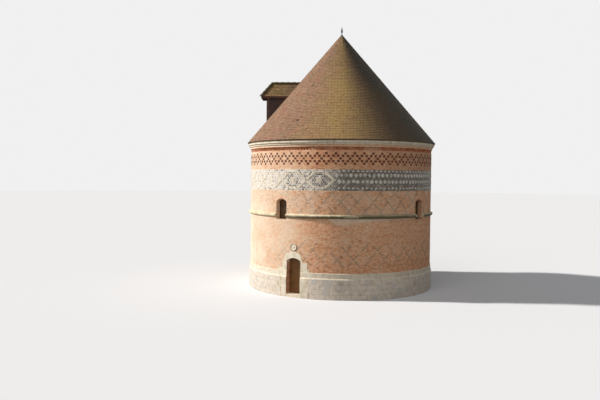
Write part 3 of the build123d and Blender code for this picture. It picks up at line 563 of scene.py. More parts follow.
def brickwork(name, low, high, courses, rule, start, below=0, face=WALL, warm=0.0, headers=HEADERS, soot=0.0):
    """Bricks of one zone of the wall, laid course by course from an angle and cut at the openings. The rule gives
    the glaze of the headers from their places and the course, counted on from the courses below. The lattice's
    black squares stand 4 mm proud and are 48 mm higher than a course, let into the bricks over and under them.
    Few bricks are burnt. Left of the door the bricks are painted paler and their glaze fainter, painted sunlight;
    the glaze greys towards the right, and the black squares are painted paler in the shade."""
    height = (high - low) / courses
    pitch = 360 / headers
    columns = []
    for course in range(courses):
        shift = 0.5 * ((course + below) % 2)
        place = np.arange(headers) + shift
        middle = start + place * pitch
        kind = rule(place, course + below)
        tone = np.maximum(chance.normal(0.5, 0.14, headers), 0.26) + warm
        burnt = chance.random(headers) < 0.007
        tone = np.clip(np.where(burnt, chance.random(headers) * 0.2, tone), 0, 1)
        level = low + course * height
        first, last, keep = cut_by(middle - pitch / 2, middle + pitch / 2, openings_at(level + height / 2), 0.45)
        columns.append(np.stack([first, last, np.full(headers, level), tone, kind])[:, keep])
    first, last, base, tone, kind = np.concatenate(columns, axis=1)
    black = kind > 0.9
    bed = np.where(black, -0.024, JOINT / 2)
    side = np.degrees(np.where(black, -0.003, JOINT / 2) / WALL)
    slip = chance.normal(0, 0.0012, len(first))
    corners, normals = wall_corners(first + side, last - side, base + bed + slip, base + height - bed + slip, WALL)
    proud = 0.0065 + chance.normal(0, 0.0014, len(first)) + 0.004 * black
    rings = blocks(corners, normals, 0.016, proud + face - WALL, 0.004)
    # Pale cream share: lime bloom, and on the sunlit side a painted highlight
    bloom = lime_bloom_and_highlight((first + last) / 2, base) + chance.normal(0, 0.05, len(first))
    redder = 0.16 * np.clip((1.9 - base) / 0.6, 0, 1)
    turned = wrapped((first + last) / 2)
    # Painted sunlight: bricks towards the sunlit side are painted paler, and a little darker at -74 degrees
    painted_sunlight = np.interp(turned, [-150, -115, -95, -82, -74, -60], [0.0, 0.2, 0.32, 0.1, -0.06, 0.0])
    # Painted light: the black squares' glaze is weaker on the shaded side, so they are painted paler in shade
    wear_and_shade = np.interp(turned, [-75, -45, 20], [1.0, 0.85, 0.75])
    # Grey glaze on the headers, rising towards the right
    greyed = soot * np.interp(turned, [-75, -40, -10, 60, 150], [0.0, 0.3, 1.0, 1.0, 0.0])
    # Painted highlight: less glaze shows towards the sunlit side, as if washed out by light; less also on the back
    glaze_share = np.interp(turned, [-150, -112, -95, -85, 60, 120], [0.2, 0.35, 0.65, 1.0, 1.0, 0.6])
    glazed = np.where(black, kind * wear_and_shade, np.maximum(kind * glaze_share, greyed))
    return piece(name, rings, brick, "brick", tone=np.clip(tone - redder + painted_sunlight, 0, 1), kind=glazed,
                 bloom=np.where(black, -0.5, bloom))


lower_diaper = diaper(3, 0.5, lambda course: np.interp(course, [4, 5, 17, 25], [1.0, 0.25, 0.3, 1.0]), 0.36)
upper_diaper = diaper(2, 0, lambda course: 0.2, 0.38)
brickwork("lower_bricks", 1.245, 2.530, 21, lower_diaper, -60.149, headers=DIAPER_HEADERS)
brickwork("middle_bricks", 2.530, 3.815, 21, lower_diaper, -60.149, below=21, headers=DIAPER_HEADERS)
brickwork("upper_bricks", 4.005, 5.118, 18, upper_diaper, -57.951, headers=DIAPER_HEADERS)
brickwork("lattice_bricks", 6.118, 7.018, 15, lattice, -1.948, warm=-0.08, soot=0.25)
brickwork("fillet_bricks", 7.181, 7.294, 2, lambda place, course: 0.0 * place, 0.0, face=WALL + 0.031, warm=0.2)


def dogtooth():
    """Bricks set cornerwise in two courses: each is a diamond in plan whose corner comes out to the wall face."""
    count = 192
    half = 0.485 * 360 / count
    radius = WALL - np.array([0.061, 0.002, 0.061, 0.100])
    rings = []
    for course in range(2):
        middle = (np.arange(count) + 0.5 * course) * 360 / count
        angle = middle[:, None] + half * np.array([-1.0, 0.0, 1.0, 0.0])
        levels = 7.023 + course * 0.078 + np.array([0.0, 0.073])
        rings.append(polar(radius, angle[:, None, :], levels[:, None]))
    rings = np.concatenate(rings)
    tone = np.clip(chance.normal(0.12, 0.08, len(rings)), 0, 1)
    return piece("dogtooth_bricks", rings, brick, "brick", tone=tone, kind=0.0, bloom=0.0)


dogtooth()


def window_heads():
    """Brick arches over the windows: wedges between an inner half-ellipse (the opening) and an outer one 200 mm
    larger, side by side in equal steps of the ellipse's angle."""
    count = 15
    edge = 0.004
    t = np.linspace(0, np.pi, count + 1)
    turn = np.stack([t[:-1] + 0.012, t[:-1] + 0.012, t[1:] - 0.012, t[1:] - 0.012], axis=1)
    across = np.array([HALF_WINDOW + edge, HEAD_WIDTH, HEAD_WIDTH, HALF_WINDOW + edge]) * np.cos(turn)
    rise = np.array([WINDOW_RISE + edge, HEAD_RISE, HEAD_RISE, WINDOW_RISE + edge]) * np.sin(turn)
    corners = [bay(angle, across, WINDOW_SPRING + rise, np.sqrt(WALL ** 2 - across ** 2)) for angle in WINDOWS]
    corners = np.concatenate(corners)
    angle = np.repeat(WINDOWS, count)
    rings = blocks(corners, outward(angle), 0.016, 0.0075 + chance.normal(0, 0.001, len(corners)), 0.004)
    # Pale cream share: lime bloom, and at the sunlit window a painted highlight
    return piece("window_head_bricks", rings, brick, "brick", tone=chance.normal(0.45, 0.12, len(corners)).clip(0, 1),
                 kind=0.0, bloom=lime_bloom_and_highlight(angle, 4.8))


window_heads()


def arch_height(across, half, rise, corner):
    """Height over the spring of a three-centred arch: two small corner arcs joined by one wide arc."""
    centre = half - corner
    wide = (centre ** 2 + rise ** 2 - corner ** 2) / (2 * (rise - corner))
    reach = wide * centre / np.hypot(wide - rise, centre)
    across = np.abs(across)
    top = np.sqrt(np.maximum(wide ** 2 - across ** 2, 0)) - (wide - rise)
    shoulder = np.sqrt(np.maximum(corner ** 2 - (across - centre) ** 2, 0))
    return np.where(across < reach, top, shoulder)


def window_sides():
    """Brick returns in the window reveals: one block a course on each side, half deep and full deep by turns, and
    blocks side by side under the arch, whose normals are square to its chords."""
    corners, normals = [], []
    front = np.sqrt(WALL ** 2 - HALF_WINDOW ** 2) - 0.004
    low = WINDOW_SILL + 0.004 + np.arange(12) * RETURN_COURSE
    split = np.where(np.arange(12) % 2 == 0, 0.110, 0.225)
    for angle in WINDOWS:
        for side in (-1, 1):
            for near, far in ((0.0 * split, split), (split + 0.008, 0.0 * split + 0.246)):
                keep = far - near > 0.02
                distance = front - np.stack([near, far, far, near], axis=1)[keep]
                height = np.stack([low, low, low + 0.057, low + 0.057], axis=1)[keep]
                corners += list(bay(angle, side * HALF_WINDOW, height, distance))
                normals += [-side * outward(angle + 90)] * len(distance)
        turn = np.linspace(0.06, np.pi - 0.06, 13)
        first = HALF_WINDOW * np.cos(turn[:-1] + 0.012)
        last = HALF_WINDOW * np.cos(turn[1:] - 0.012)
        across = np.stack([first, last, last, first], axis=1)
        rise = arch_height(across, HALF_WINDOW, WINDOW_RISE, WINDOW_CORNER)
        distance = np.array([front, front, WINDOW_REBATE, WINDOW_REBATE])
        corners += list(bay(angle, across, WINDOW_SPRING + rise, distance))
        slope = unit(np.stack([rise[:, 1] - rise[:, 0], first - last], axis=1))
        normals += list(slope[:, :1] * outward(angle + 90) - slope[:, 1:] * UP)
    rings = blocks(corners, normals, 0.010, 0.005, 0.003)
    # Painted light: the reveals of the window at -99 degrees are painted paler for light reflected into them; the
    # others take a share of grey glaze
    painted_lit_reveals = np.arange(len(corners)) < len(corners) // len(WINDOWS)
    tone = chance.normal(np.where(painted_lit_reveals, 0.95, 0.45), 0.1).clip(0, 1)
    return piece("window_side_bricks", rings, brick, "brick", tone=tone, kind=np.where(painted_lit_reveals, 0.0, 0.2), bloom=0.0)


window_sides()

# Flint band: knapped flints in rows, with inlays of cut limestone that stand a little proud of them

BAND_MIDDLE = 5.6175
PANEL = (-147.8, -66.0)
CROSS_STEP = 16.25
CROSSES = [-66.25 - CROSS_STEP * i for i in range(6)]
RINGS = [-74.4 - CROSS_STEP * i for i in range(5)]
BAND_FOOT = 5.123
BAND_TOP = 6.112
HEXAGON = np.array([(-1.0, -0.45), (0.0, -1.0), (1.0, -0.45), (1.0, 0.45), (0.0, 1.0), (-1.0, 0.45)])


def in_panel(angle):
    """Whether angles lie in the panel of crosses and rings."""
    return (angle - PANEL[0]) % 360 < PANEL[1] - PANEL[0]


def flint_stones():
    """Eleven rows of knapped stones 90 mm high, each a hexagon with stray corners. The panel's stones show their
    pale rinds, except on the rings, which are dark; the other stones are dark."""
    rows = 11
    row_height = (BAND_TOP - BAND_FOOT) / rows
    row = np.repeat(np.arange(rows), HEADERS)
    middle = np.tile(HEADER_START + np.arange(HEADERS) * HEADER_PITCH, rows) + 0.5 * HEADER_PITCH * (row % 2)
    middle = middle + chance.normal(0, 0.08, len(middle))
    level = BAND_FOOT + (row + 0.5) * row_height
    count = len(middle)
    half_a = 0.5 * HEADER_PITCH - np.degrees(0.005 / WALL)
    half_z = 0.5 * row_height - 0.005
    sideways = np.array([-1.0, 0.0, 1.0, 1.0, 0.0, -1.0]) * (1 - 0.3 * chance.random((count, 6)))
    upright = np.array([-0.9, -1.0, -0.9, 0.9, 1.0, 0.9]) * (1 - 0.24 * chance.random((count, 6)))
    angle = middle[:, None] + half_a * sideways
    proud = 0.008 + chance.normal(0, 0.003, count)
    rings = blocks(polar(WALL, angle, level[:, None] + half_z * upright), outward(angle), 0.014, proud, 0.009)
    turned = wrapped(middle)
    pale = np.interp(turned, [-149, -147, -105, -88, -67, -65], [0.4, 1.0, 0.92, 0.78, 0.6, 0.4])
    tone = chance.normal(pale, np.interp(turned, [-130, -105, -60], [0.12, 0.22, 0.18]))
    away = np.min([np.hypot(np.radians(turned - ring) * WALL, level - BAND_MIDDLE) for ring in RINGS], axis=0)
    on_ring = (np.abs(away - 0.27) < 0.06) & in_panel(middle)
    tone = np.where(on_ring, tone - np.interp(turned, [-110, -92, -80], [0.05, 0.2, 0.5]), tone)
    chalky = np.interp(turned, [-149, -147, -105, -85, -67, -65], [0.0, 1.0, 0.8, 0.45, 0.1, 0.0])
    kind = np.where(tone > 0.6, chalky * chance.uniform(0.4, 1.0, count), 0.0)
    return piece("flint_stones", rings, flint, "flint", tone=np.clip(tone, 0, 1), kind=kind)


def inlay(name, centres, shapes, material):
    """Flat stones in the band: outlines of (across, up) in metres about centres of (angle, height)."""
    centres = np.array(centres)[:, None]
    shapes = np.array(shapes)
    angle = centres[..., 0] + np.degrees(shapes[..., 0] / WALL)
    rings = blocks(polar(WALL, angle, centres[..., 1] + shapes[..., 1]), outward(angle), 0.014, 0.016, 0.005)
    return piece(name, rings, material, "limestone", tone=chance.random(len(rings)))


def hexagon_inlays():
    """Outside the panel: two rows of large hexagons between two rows of small ones. The upper large row starts half
    a step along."""
    centres, shapes = [], []
    step = 2 * HEADER_PITCH
    for level, phase, half in ((6.045, -0.07, (0.066, 0.050)), (5.850, 1.25, (0.086, 0.100)),
                               (5.550, -0.07, (0.086, 0.100)), (5.245, -0.07, (0.064, 0.054))):
        for angle in phase + step * np.arange(HEADERS // 2):
            if not in_panel(angle):
                centres.append((angle + chance.normal(0, 0.1), level + chance.normal(0, 0.006)))
                shapes.append(HEXAGON * half * chance.uniform(0.78, 1.08, (1, 2)))
    return inlay("hexagon_inlays", centres, shapes, inlay_stone)


def cross_inlays():
    """In the panel: crosses of four slanting strips, lozenges in the rings, and level strips over and under them."""
    centres, shapes = [], []
    ends = ((CROSSES[0], 1), (CROSSES[-1], -1))
    for cross, side, rise in [(c, s, r) for c in CROSSES for s in (-1, 1) for r in (-1, 1) if (c, s) not in ends]:
        near = np.array([0.035 * side, 0.03 * rise])
        far = np.array([0.43 * side, 0.37 * rise])
        along = unit(far - near)
        wide = np.array([-along[1], along[0]]) * 0.046
        middle = (near + far) / 2
        centres.append((cross, BAND_MIDDLE))
        shapes.append([near - wide, middle - wide, far - wide, far + wide, middle + wide, near + wide])
    strip = np.array([(-0.2, -0.034), (0.0, -0.034), (0.2, -0.034), (0.2, 0.034), (0.0, 0.034), (-0.2, 0.034)])
    for ring in RINGS:
        for rise, shape in ((0.0, HEXAGON * (0.095, 0.13)), (-0.40, strip), (0.40, strip)):
            centres.append((ring, BAND_MIDDLE + rise))
            shapes.append(shape)
    return inlay("cross_inlays", centres, shapes, limestone)


flint_stones()
hexagon_inlays()
cross_inlays()

# Cut stone: string course, cornice, plinth


def stones_round(count, offset=0.0):
    """Equal arcs round the tower as start and end angles."""
    start = offset + np.arange(count) * 360 / count
    return start, start + 360 / count


string_outline = [(4.790, 3.816), (4.829, 3.816), (4.870, 3.826), (4.901, 3.855), (4.914, 3.901), (4.914, 3.938),
                  (4.860, 3.972), (4.790, 4.006)]
window_gaps = [gap_of(angle, HALF_WINDOW + 0.001) for angle in WINDOWS]
start, end = stones_round(46, 2.0)
moulding("string_stones", string_outline, 4.74, start, end, window_gaps, string_stone, "limestone",
         moss=lambda angle: np.interp(wrapped(angle), [-150, -108, -94, -70, -60, 60, 150],
                                      [0.0, 0.05, 0.5, 0.65, 1.15, 1.15, 0.3]))

cornice_outline = [(4.80, 7.292), (4.880, 7.292), (4.880, 7.322), (4.886, 7.344), (4.904, 7.363), (4.930, 7.369),
                   (4.930, 7.383), (4.945, 7.383), (4.945, 7.466), (4.930, 7.483)]
start, end = stones_round(44, 1.0)
moulding("cornice_stones", cornice_outline, 4.72, start, end, [], limestone, "limestone", steps=6)

cap_outline = [(4.80, 1.008), (4.834, 1.008), (4.836, 1.10), (4.834, 1.224), (4.820, 1.243), (4.78, 1.247)]
start, end = stones_round(40, 3.0)
moulding("plinth_cap_stones", cap_outline, 4.72, start, end, [surround_gap(1.1)], limestone, "plinth_stone")
ledge_outline = [(4.80, 0.942), (4.875, 0.942), (4.874, 0.950), (4.836, 1.009)]
start, end = stones_round(40, 7.5)
moulding("plinth_ledge_stones", ledge_outline, 4.74, start, end, [surround_gap(0.97)], limestone, "plinth_stone")


def plinth_courses():
    """Squared blocks of the plinth in four courses of 235 mm. One in nine is a pale flint, and one in six on the
    shaded side."""
    count = 122
    high = 0.235
    side = np.degrees(0.005 / WALL)
    rings, kinds = [], []
    for course in range(4):
        start, end = stones_round(count, course * 1.475)
        low = np.full(count, 0.009 + course * high)
        start, end, keep = cut_by(start, end, [surround_gap(0.12 + course * high)], 1.0)
        sides = (start + side, end - side, low, low + 0.225)
        corners, normals = wall_corners(*(v[keep] for v in sides), PLINTH)
        rings.append(blocks(corners, normals, 0.02, 0.005 + chance.normal(0, 0.0012, keep.sum()), 0.004))
        shaded = np.cos(np.radians(start - SUNNY_SIDE)) < 0.2
        kinds.append((chance.random(count) < np.where(shaded, 0.17, 0.11))[keep])
    rings = np.concatenate(rings)
    flinty = np.concatenate(kinds)
    tone = chance.uniform(0.35, 0.6, len(rings))
    piece("plinth_blocks", rings[~flinty], plinth_stone, "plinth_stone", tone=tone[~flinty])
    piece("plinth_flints", rings[flinty], flint, "flint", tone=tone[flinty], kind=0.65)


plinth_courses()


def face_radius(height):
    """Radius of the plinth, of its cap or of the wall at a height."""
    return PLINTH if height < PLINTH_HIGH else PLINTH_CAP if height < CAP_HIGH else WALL


def jamb_stones():
    """Stones of the door's jambs on the face beside the doorway."""
    corners, normals = [], []
    for side, reaches in ((-1, left_reach), (1, right_reach)):
        low = 0.0
        for top, reach in reaches:
            high = PLINTH_HIGH if low < PLINTH_HIGH < top else top
            radius = face_radius((low + top) / 2)
            radius += 0.012 if radius == WALL else 0.001
            across = side * (HALF_DOOR + np.array([-0.001, reach - 0.004, reach - 0.004, -0.001]))
            height = np.array([low + 0.004, low + 0.004, high - 0.003, high - 0.003])
            corners.append(bay(DOOR, across, height, np.sqrt(radius ** 2 - across ** 2)))
            normals.append(outward(DOOR + np.degrees(np.arcsin(across / radius))))
            low = top
    rings = blocks(corners, normals, 0.010, 0.0035, 0.003)
    return piece("jamb_stones", rings, limestone, "limestone", tone=chance.random(len(corners)))


jamb_stones()


def jamb_bricks():
    """Brick returns in the door's reveals: two bricks a course, behind the jambs' face, with the joint between them
    nearer and farther by turns."""
    corners, normals = [], []
    for course in range(int(DOOR_SPRING / RETURN_COURSE)):
        low = 0.006 + course * RETURN_COURSE
        near = np.sqrt(face_radius(low) ** 2 - HALF_DOOR ** 2) - 0.015
        split = near + (0.35 + 0.3 * (course % 2)) * (REBATE - near)
        for first, last in ((near, split + 0.004), (split - 0.004, REBATE)):
            for side in (-1, 1):
                height = low + np.array([0.0, 0.0, 0.0575, 0.0575])
                corners.append(bay(DOOR, side * HALF_DOOR, height, np.array([first, last, last, first])))
                normals.append(-side * outward(DOOR + 90))
    rings = blocks(corners, normals, 0.010, 0.0035, 0.003)
    return piece("jamb_bricks", rings, brick, "brick", tone=chance.normal(0.2, 0.12, len(corners)).clip(0, 1),
                 kind=0.2, bloom=0.0)


jamb_bricks()


def roundel_rim():
    """Outer half of the roundel's carved ring, in 24 lengths, in a darker stone."""
    turn = np.arange(24)[:, None] * 15.0 + np.array([0.3, 0.3, 14.7, 14.7])
    radius = np.array([0.150, 0.1945, 0.1945, 0.150])
    distance = WALL + np.array([0.038, 0.018, 0.018, 0.038])
    across = radius * np.cos(np.radians(turn))
    corners = bay(DOOR, across, ROUNDEL_LEVEL + radius * np.sin(np.radians(turn)), distance)
    rings = blocks(corners, outward(DOOR), 0.012, 0.003, 0.002)
    return piece("roundel_rim", rings, darker_rim_stone, "limestone", tone=chance.random(len(corners)))


roundel_rim()

# Roof tiles

TILE_WIDE = 0.160
GAUGE = 0.110
CAMBER = np.array([[0.0], [0.003], [0.0]])


def tile_rings(low, high, normals, lift, drop, thick):
    """Tiles as rings across their width: the butt is lifted off the slope and the head is let into it, each
    thick, so every course rides on the one below."""
    return np.stack([low + normals * (lift - thick), low + normals * lift, high - normals * drop,
                     high - normals * (drop + thick)], axis=2)


def cone_tiles():
    """Plain tiles 160 mm wide on the cone at a 110 mm gauge. A point is at a slope distance s from the apex:
    radius = s cos p, height = apex - s sin p, for the pitch p; odd courses start half a tile along. Moss goes by
    the angle from the shaded side. The tiles are darkened there, as painted shade, and darker towards the apex,
    with one sooted vent tile over the door."""
    pitch = np.arctan(SLOPE)
    rings, tones = [], []
    course = 0
    foot = np.hypot(EAVE_RADIUS, APEX - EAVE_TOP) + 0.035
    while foot > 0.17:
        count = max(10, int(round(2 * np.pi * foot * np.cos(pitch) / TILE_WIDE)))
        middle = (np.arange(count) + 0.5 * (course % 2)) * 360 / count + chance.normal(0, 0.05, count)
        angle = middle[:, None] + 0.496 * 360 / count * np.array([-1.0, 0.0, 1.0])
        slide = chance.normal(0, 0.004, count)[:, None]
        normals = polar(np.sin(pitch), angle, np.cos(pitch))
        ends = []
        for distance in (foot + slide, foot - GAUGE * 1.45 + slide):
            ends.append(polar(distance * np.cos(pitch), angle, APEX - distance * np.sin(pitch)) + CAMBER * normals)
        lift = (0.013 + chance.normal(0, 0.0012, count))[:, None, None]
        rings.append(tile_rings(*ends, normals, lift, 0.004, 0.012))
        tones.append(np.stack([np.clip(chance.normal(0.5, 0.13, count), 0, 1), middle, np.full(count, foot)]))
        foot -= GAUGE
        course += 1
    rings = np.concatenate(rings)
    tone, angle, place = np.concatenate(tones, axis=1)
    from_shade = np.abs((angle - SUNNY_SIDE) % 360 - 180)
    moss = np.interp(from_shade, [60, 78, 92, 122], [0.45, 0.8, 1.0, 0.0])
    # Painted shade: tiles darkened on the shaded side of the cone
    soot = np.interp(wrapped(angle), [-59, -39, -29, -13, 35, 70, 110], [0.0, 0.88, 1.16, 1.36, 1.36, 0.6, 0.0])
    # Darker towards the apex, most on the shaded side
    soot += np.interp(place, [1.5, 4.6], [0.42, 0.0]) * np.interp(from_shade, [40, 90, 140], [1.0, 0.9, 0.3])
    vent = (np.abs(wrapped(angle + 91.9)) < 1.2) & (np.abs(place - 6.49) < 0.08)
    return piece("roof_tiles", rings, tile, "roof_tile", tone=tone, moss=moss, soot=np.where(vent, 1.25, soot))


cone_tiles()

# Flight dormer

dormer_front = EAVE_RADIUS - 0.990
dormer_foot = APEX - SLOPE * dormer_front
dormer_rise = 0.770
dormer_eave = dormer_foot + 1.315
dormer_ridge = dormer_eave + dormer_rise
ridge_end = dormer_front - 0.270
eave_front = dormer_front + 0.280
eave_side = 0.610
cheek_side = 0.500
ridge_tail = (APEX - dormer_ridge) / SLOPE
plate_base = dormer_ridge - dormer_rise / eave_side * cheek_side - 0.09 - 0.12
dormer_out = outward(DORMER)
dormer_left = outward(DORMER + 90)


def slope_tiles(origin, along, rise, normal, length, limits):
    """Tiles on one flat slope: courses climb from the eave, and each tile's ends are held between the two limits
    at its height up the slope, so the hips and the valley cut them."""
    rings = []
    course = 0
    foot = -0.02
    while foot < length - 0.03:
        head = min(foot + GAUGE * 1.4, length)
        low_limits = limits(max(foot, 0.0))
        left = low_limits[0] + (np.arange(int(np.ptp(low_limits) / TILE_WIDE) + 2) - 0.5 * (course % 2)) * TILE_WIDE
        keep = np.diff(np.clip([left, left + 0.156], *low_limits), axis=0)[0] > 0.02
        ends = []
        for level, held in ((foot, low_limits), (head, limits(head))):
            first, last = np.clip([left[keep], left[keep] + 0.156], *held)[:, :, None]
            place = first + (last - first) * np.array([0.0, 0.5, 1.0])
            ends.append(origin + place[..., None] * along + level * rise + CAMBER * normal)
        lift = 0.016 + chance.normal(0, 0.002, (len(ends[0]), 1, 1))
        rings.append(tile_rings(*ends, normal, lift, 0.004, 0.014))
        foot += GAUGE
        course += 1
    return np.concatenate(rings)


def dormer_tiles():
    """Tiles of both sides and of the hip. A side's front end follows the hip line, and its back end runs into the
    cone, whose radius at the height of the slope is reached at the limit."""
    run = eave_side
    side_length = np.hypot(run, dormer_rise)
    hip_run = eave_front - ridge_end
    hip_length = np.hypot(hip_run, dormer_rise)
    parts = []
    for side in (-1, 1):
        rise = unit(-side * dormer_left * run + UP * dormer_rise)
        normal = unit(side * dormer_left * dormer_rise + UP * run)
        origin = dormer_left * side * run + UP * dormer_eave

        def side_limits(distance):
            share = distance / side_length
            reach = (APEX - dormer_eave - dormer_rise * share) / SLOPE
            back = np.sqrt(max(reach ** 2 - (run * (1 - share)) ** 2, 0.01)) - 0.05
            return back, eave_front - hip_run * share

        parts.append(slope_tiles(origin, dormer_out, rise, normal, side_length, side_limits))

    rise = unit(-dormer_out * hip_run + UP * dormer_rise)
    normal = unit(dormer_out * dormer_rise + UP * hip_run)
    origin = dormer_out * eave_front + UP * dormer_eave

    def hip_limits(distance):
        half = run * (1 - distance / hip_length)
        return -half, half

    parts.append(slope_tiles(origin, dormer_left, rise, normal, hip_length, hip_limits))
    rings = np.concatenate(parts)
    moss = np.interp(rings.mean(axis=(1, 2)) @ dormer_out, [2.6, 3.1], [0.25, 1.0])
    tone = np.clip(chance.normal(0.35, 0.2, len(rings)), 0, 1)
    return piece("dormer_tiles", rings, tile, "roof_tile", tone=tone, moss=moss,
                 soot=np.clip(chance.normal(0.45, 0.15, len(rings)), 0, 1))


dormer_tiles()


def capping(starts, ends, half_width, sag, lift):
    """Half-round ridge tiles from start points to end points: an arch in section, 14 mm thick, whose lower end is
    a little wider and rides over the next."""
    axis = unit(ends - starts)
    side = unit(np.cross(axis, UP))
    top = np.cross(side, axis)
    turn = np.linspace(0, np.pi, 5)
    outer = np.stack([np.cos(turn), np.sin(turn)], axis=1)
    across, up = (np.concatenate([outer, outer[::-1] * 0.86]) * (half_width, sag)).T[..., None]
    rings = []
    for point, scale in ((starts, 0.86), (ends, 1.16)):
        rings.append((point + top * lift)[:, None] + (side[:, None] * across + top[:, None] * up) * scale)
    return np.stack(rings, axis=1)


def dormer_caps():
    """Ridge tiles 320 to 350 mm long down the ridge and both hips of the dormer."""
    rings = []
    apex = dormer_out * ridge_end + UP * dormer_ridge
    corner = dormer_out * (eave_front + 0.01) + UP * dormer_eave
    reach = dormer_left * (eave_side + 0.01)
    tail = dormer_out * (ridge_tail - 0.06) + UP * dormer_ridge
    for foot, count in ((tail, 5), (corner - reach, 4), (corner + reach, 4)):
        line = apex + (foot - apex) * np.linspace(0, 1, count + 1)[:, None]
        rings.append(capping(line[:-1] - (line[1:] - line[:-1]) * 0.12, line[1:], 0.10, 0.085, -0.03))
    rings = np.concatenate(rings)
    return piece("dormer_ridge_tiles", rings, tile, "roof_tile", moss=1.0, soot=1.25,
                 tone=np.clip(chance.normal(0.15, 0.1, len(rings)), 0, 1))


dormer_caps()


def cheek_boards():
    """Upright boards 140 mm wide on both cheeks, whose feet follow the cone: height = apex - slope times the
    distance from the axis."""
    width = 0.140
    back = (APEX - plate_base) / SLOPE
    corners, normals = [], []
    for side in (-1, 1):
        edge = np.arange(dormer_front - 0.100, back - width, -width)
        near = edge - 0.003
        far = np.maximum(edge - width + 0.003, back - 0.02)
        foot_near = APEX - SLOPE * np.hypot(near, cheek_side) - 0.01
        foot_far = APEX - SLOPE * np.hypot(far, cheek_side) - 0.01
        top = np.full(near.shape, plate_base + 0.01)
        keep = (near - far > 0.03) & (foot_far < top)
        distance = np.stack([near, far, far, near], axis=1)[keep]
        height = np.stack([foot_near, foot_far, top, top], axis=1)[keep]
        corners += list(bay(DORMER, side * cheek_side, height, distance))
        normals += [side * dormer_left] * len(distance)
    rings = blocks(corners, normals, 0.012, 0.006 + chance.normal(0, 0.001, len(corners)), 0.003)
    return piece("cheek_boards", rings, dormer_paint, "dormer_timber")


cheek_boards()


def eave_boards():
    """Fascia boards under the dormer's eaves, 108 mm high and 22 mm thick, on both sides and across the front."""
    back = (APEX - dormer_eave + 0.05) / SLOPE - 0.05
    height = dormer_eave - np.array([0.112, 0.112, 0.004, 0.004])
    distance = np.array([back, eave_front, eave_front, back])
    across = eave_side * np.array([-1, 1, 1, -1])
    corners = [bay(DORMER, side * eave_side, height, distance) for side in (-1, 1)]
    corners.append(bay(DORMER, across, height, eave_front))
    rings = blocks(corners, [-dormer_left, dormer_left, dormer_out], 0.016, 0.006, 0.002)
    return piece("dormer_fascia", rings, red_paint, "dormer_timber")


eave_boards()

# Door: boards with worn edges, three ledges behind, nails, and the arched head

HALF_LEAF = 0.430
LEDGES = (0.380, 0.980, 1.540)


def door_head(across):
    """Height of the leaf's arched head, which is 45 mm larger than the doorway's own arch."""
    return DOOR_SPRING + arch_height(across, HALF_LEAF, 0.245, 0.165)


def door_boards():
    """Five upright boards side by side, each an outline whose top follows the arched head, three ledges behind them,
    and two nails through each board into each ledge."""
    edges = np.linspace(-HALF_LEAF, HALF_LEAF, 6)
    left = edges[:-1, None] + 0.0015
    right = edges[1:, None] - 0.0015
    top = right + (left - right) * np.linspace(0, 1, 5)
    foot = np.full((5, 3), 0.160)
    across = np.concatenate([left, (left + right) / 2, right, top], axis=1)
    corners = bay(DOOR, across, np.concatenate([foot, door_head(top) - 0.001], axis=1), LEAF)
    rings = blocks(corners, outward(DOOR), LEAF_BACK, LEAF_FRONT, 0.004)
    boards = piece("door_boards", rings, door_oak, "door_timber", body="door", tone=chance.random(5))
    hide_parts("door_leaf")
    across = np.array([-0.370, 0.370, 0.370, -0.370])
    rise = np.array([-0.065, -0.065, 0.065, 0.065])
    corners = [bay(DOOR, across, level + rise, LEAF - LEAF_BACK) for level in LEDGES]
    rings = blocks(corners, -outward(DOOR), 0.0, 0.030, 0.004)
    piece("door_ledges", rings, door_oak, "door_timber", body="door", tone=chance.random(3))
    turn = np.radians(np.arange(8) * 45 + 22.5)
    corners = []
    for level in LEDGES:
        for middle in (edges[:-1] + edges[1:]) / 2:
            for shift in (-0.04, 0.04):
                across = middle + shift + 0.011 * np.cos(turn)
                corners.append(bay(DOOR, across, level + shift / 2 + 0.011 * np.sin(turn), LEAF + LEAF_FRONT))
    rings = blocks(corners, outward(DOOR), 0.004, 0.0035, 0.002)
    piece("door_nails", rings, iron, "iron", body="door")


door_boards()


def window_bars():
    """Glazing bars 22 mm wide in front of each pane, one upright and two level."""
    corners, normals = [], []
    for angle in WINDOWS:
        for low_x, high_x, low_z, high_z in ((-0.011, 0.011, 3.755, 4.640), (-0.295, 0.295, 4.020, 4.042),
                                             (-0.295, 0.295, 4.320, 4.342)):
            across = np.array([low_x, high_x, high_x, low_x])
            corners.append(bay(angle, across, np.array([low_z, low_z, high_z, high_z]), WINDOW_BARS))
            normals.append(outward(angle))
    rings = blocks(corners, normals, 0.0, 0.016, 0.004)
    return piece("window_bars", rings, window_oak, "window_timber")


window_bars()

# Camera at a distance from the axis and an eye height, turned by its pan, pitch and roll from the axis, and by its
# heading round the tower; then the floor and the light

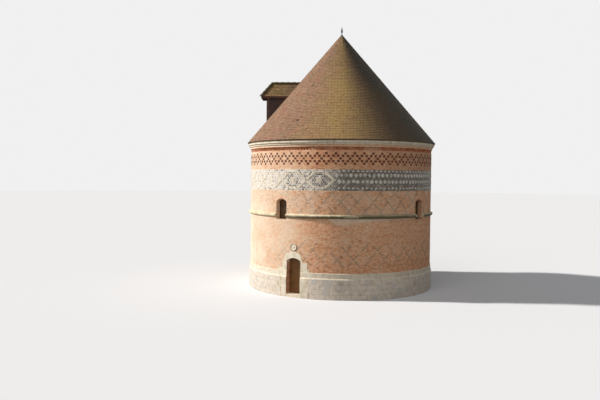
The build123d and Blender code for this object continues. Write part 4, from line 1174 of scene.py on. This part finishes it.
sensor, picture_width, lens_pixels = 36.0, 600.0, 623.2
distance, eye = 33.82, 5.754
pan, pitch, roll, heading = np.radians([3.68, 2.12, 0.48, 27.1])
look = np.array([-np.sin(pan) * np.cos(pitch), np.cos(pan) * np.cos(pitch), -np.sin(pitch)])
right = unit(np.cross(look, UP))
up = np.cross(right, look)
view_right = right * np.cos(roll) + up * np.sin(roll)
view_up = up * np.cos(roll) - right * np.sin(roll)
turn = np.array([[np.cos(heading), -np.sin(heading), 0], [np.sin(heading), np.cos(heading), 0], [0, 0, 1]])
columns = np.stack([turn @ view_right, turn @ view_up, -(turn @ look)], axis=1)
place = turn @ np.array([0.0, -distance, eye])
camera_data = bpy.data.cameras.new("camera")
camera_data.sensor_width = sensor
camera_data.lens = lens_pixels * sensor / picture_width
camera_data.clip_end = 500.0
camera = bpy.data.objects.new("camera", camera_data)
camera.matrix_world = Matrix([[*columns[i], place[i]] for i in range(3)] + [[0, 0, 0, 1]])
link(camera)
bpy.context.scene.camera = camera


def brighter_seen(tree):
    """1 for the rays of the camera and of glossy surfaces, else 0."""
    rays = add(tree, "LightPath").node.outputs
    return add(tree, "Math", {0: rays["Is Camera Ray"], 1: rays["Is Glossy Ray"]}, operation="MAXIMUM")


floor_mesh = bpy.data.meshes.new("floor")
ring = polar(220.0, np.arange(0, 360, 7.5), -0.001)
floor_mesh.from_pydata(ring.tolist(), [], [list(range(len(ring)))])
floor = bpy.data.objects.new("floor", floor_mesh)
link(floor)
ground = bpy.data.materials.new("pale_floor")
tree = empty_tree(ground)
tint = add(tree, "Mix", {0: brighter_seen(tree), 6: linear("#8A8782"), 7: linear("#E4E6EA")}, **TINTED)
matt = add(tree, "BsdfDiffuse", {"Color": tint})
add(tree, "OutputMaterial", {"Surface": matt})
floor_mesh.materials.append(ground)

world = bpy.data.worlds.new("studio")
bpy.context.scene.world = world
tree = empty_tree(world)
strength = add(tree, "MapRange", {0: brighter_seen(tree), 3: 0.21, 4: 0.875})
sky = add(tree, "Background", {"Color": (1.0, 1.0, 1.0, 1.0), "Strength": strength})
add(tree, "OutputWorld", {"Surface": sky})

for name, energy, softness, colour, bearing, elevation in (
        ("key", 4.6, 3.0, (1.0, 0.96, 0.90), -151.9, 32.0), ("fill", 0.62, 60.0, (1.0, 0.98, 0.96), -77.9, 35.0)):
    lamp = bpy.data.lights.new(name, "SUN")
    lamp.energy = energy
    lamp.angle = np.radians(softness)
    lamp.color = colour
    sun = bpy.data.objects.new(name, lamp)
    towards = Vector(polar(np.cos(np.radians(elevation)), bearing, np.sin(np.radians(elevation))).tolist())
    sun.rotation_euler = towards.to_track_quat("Z", "Y").to_euler()
    link(sun)
bpy.context.scene.view_settings.view_transform = "Standard"
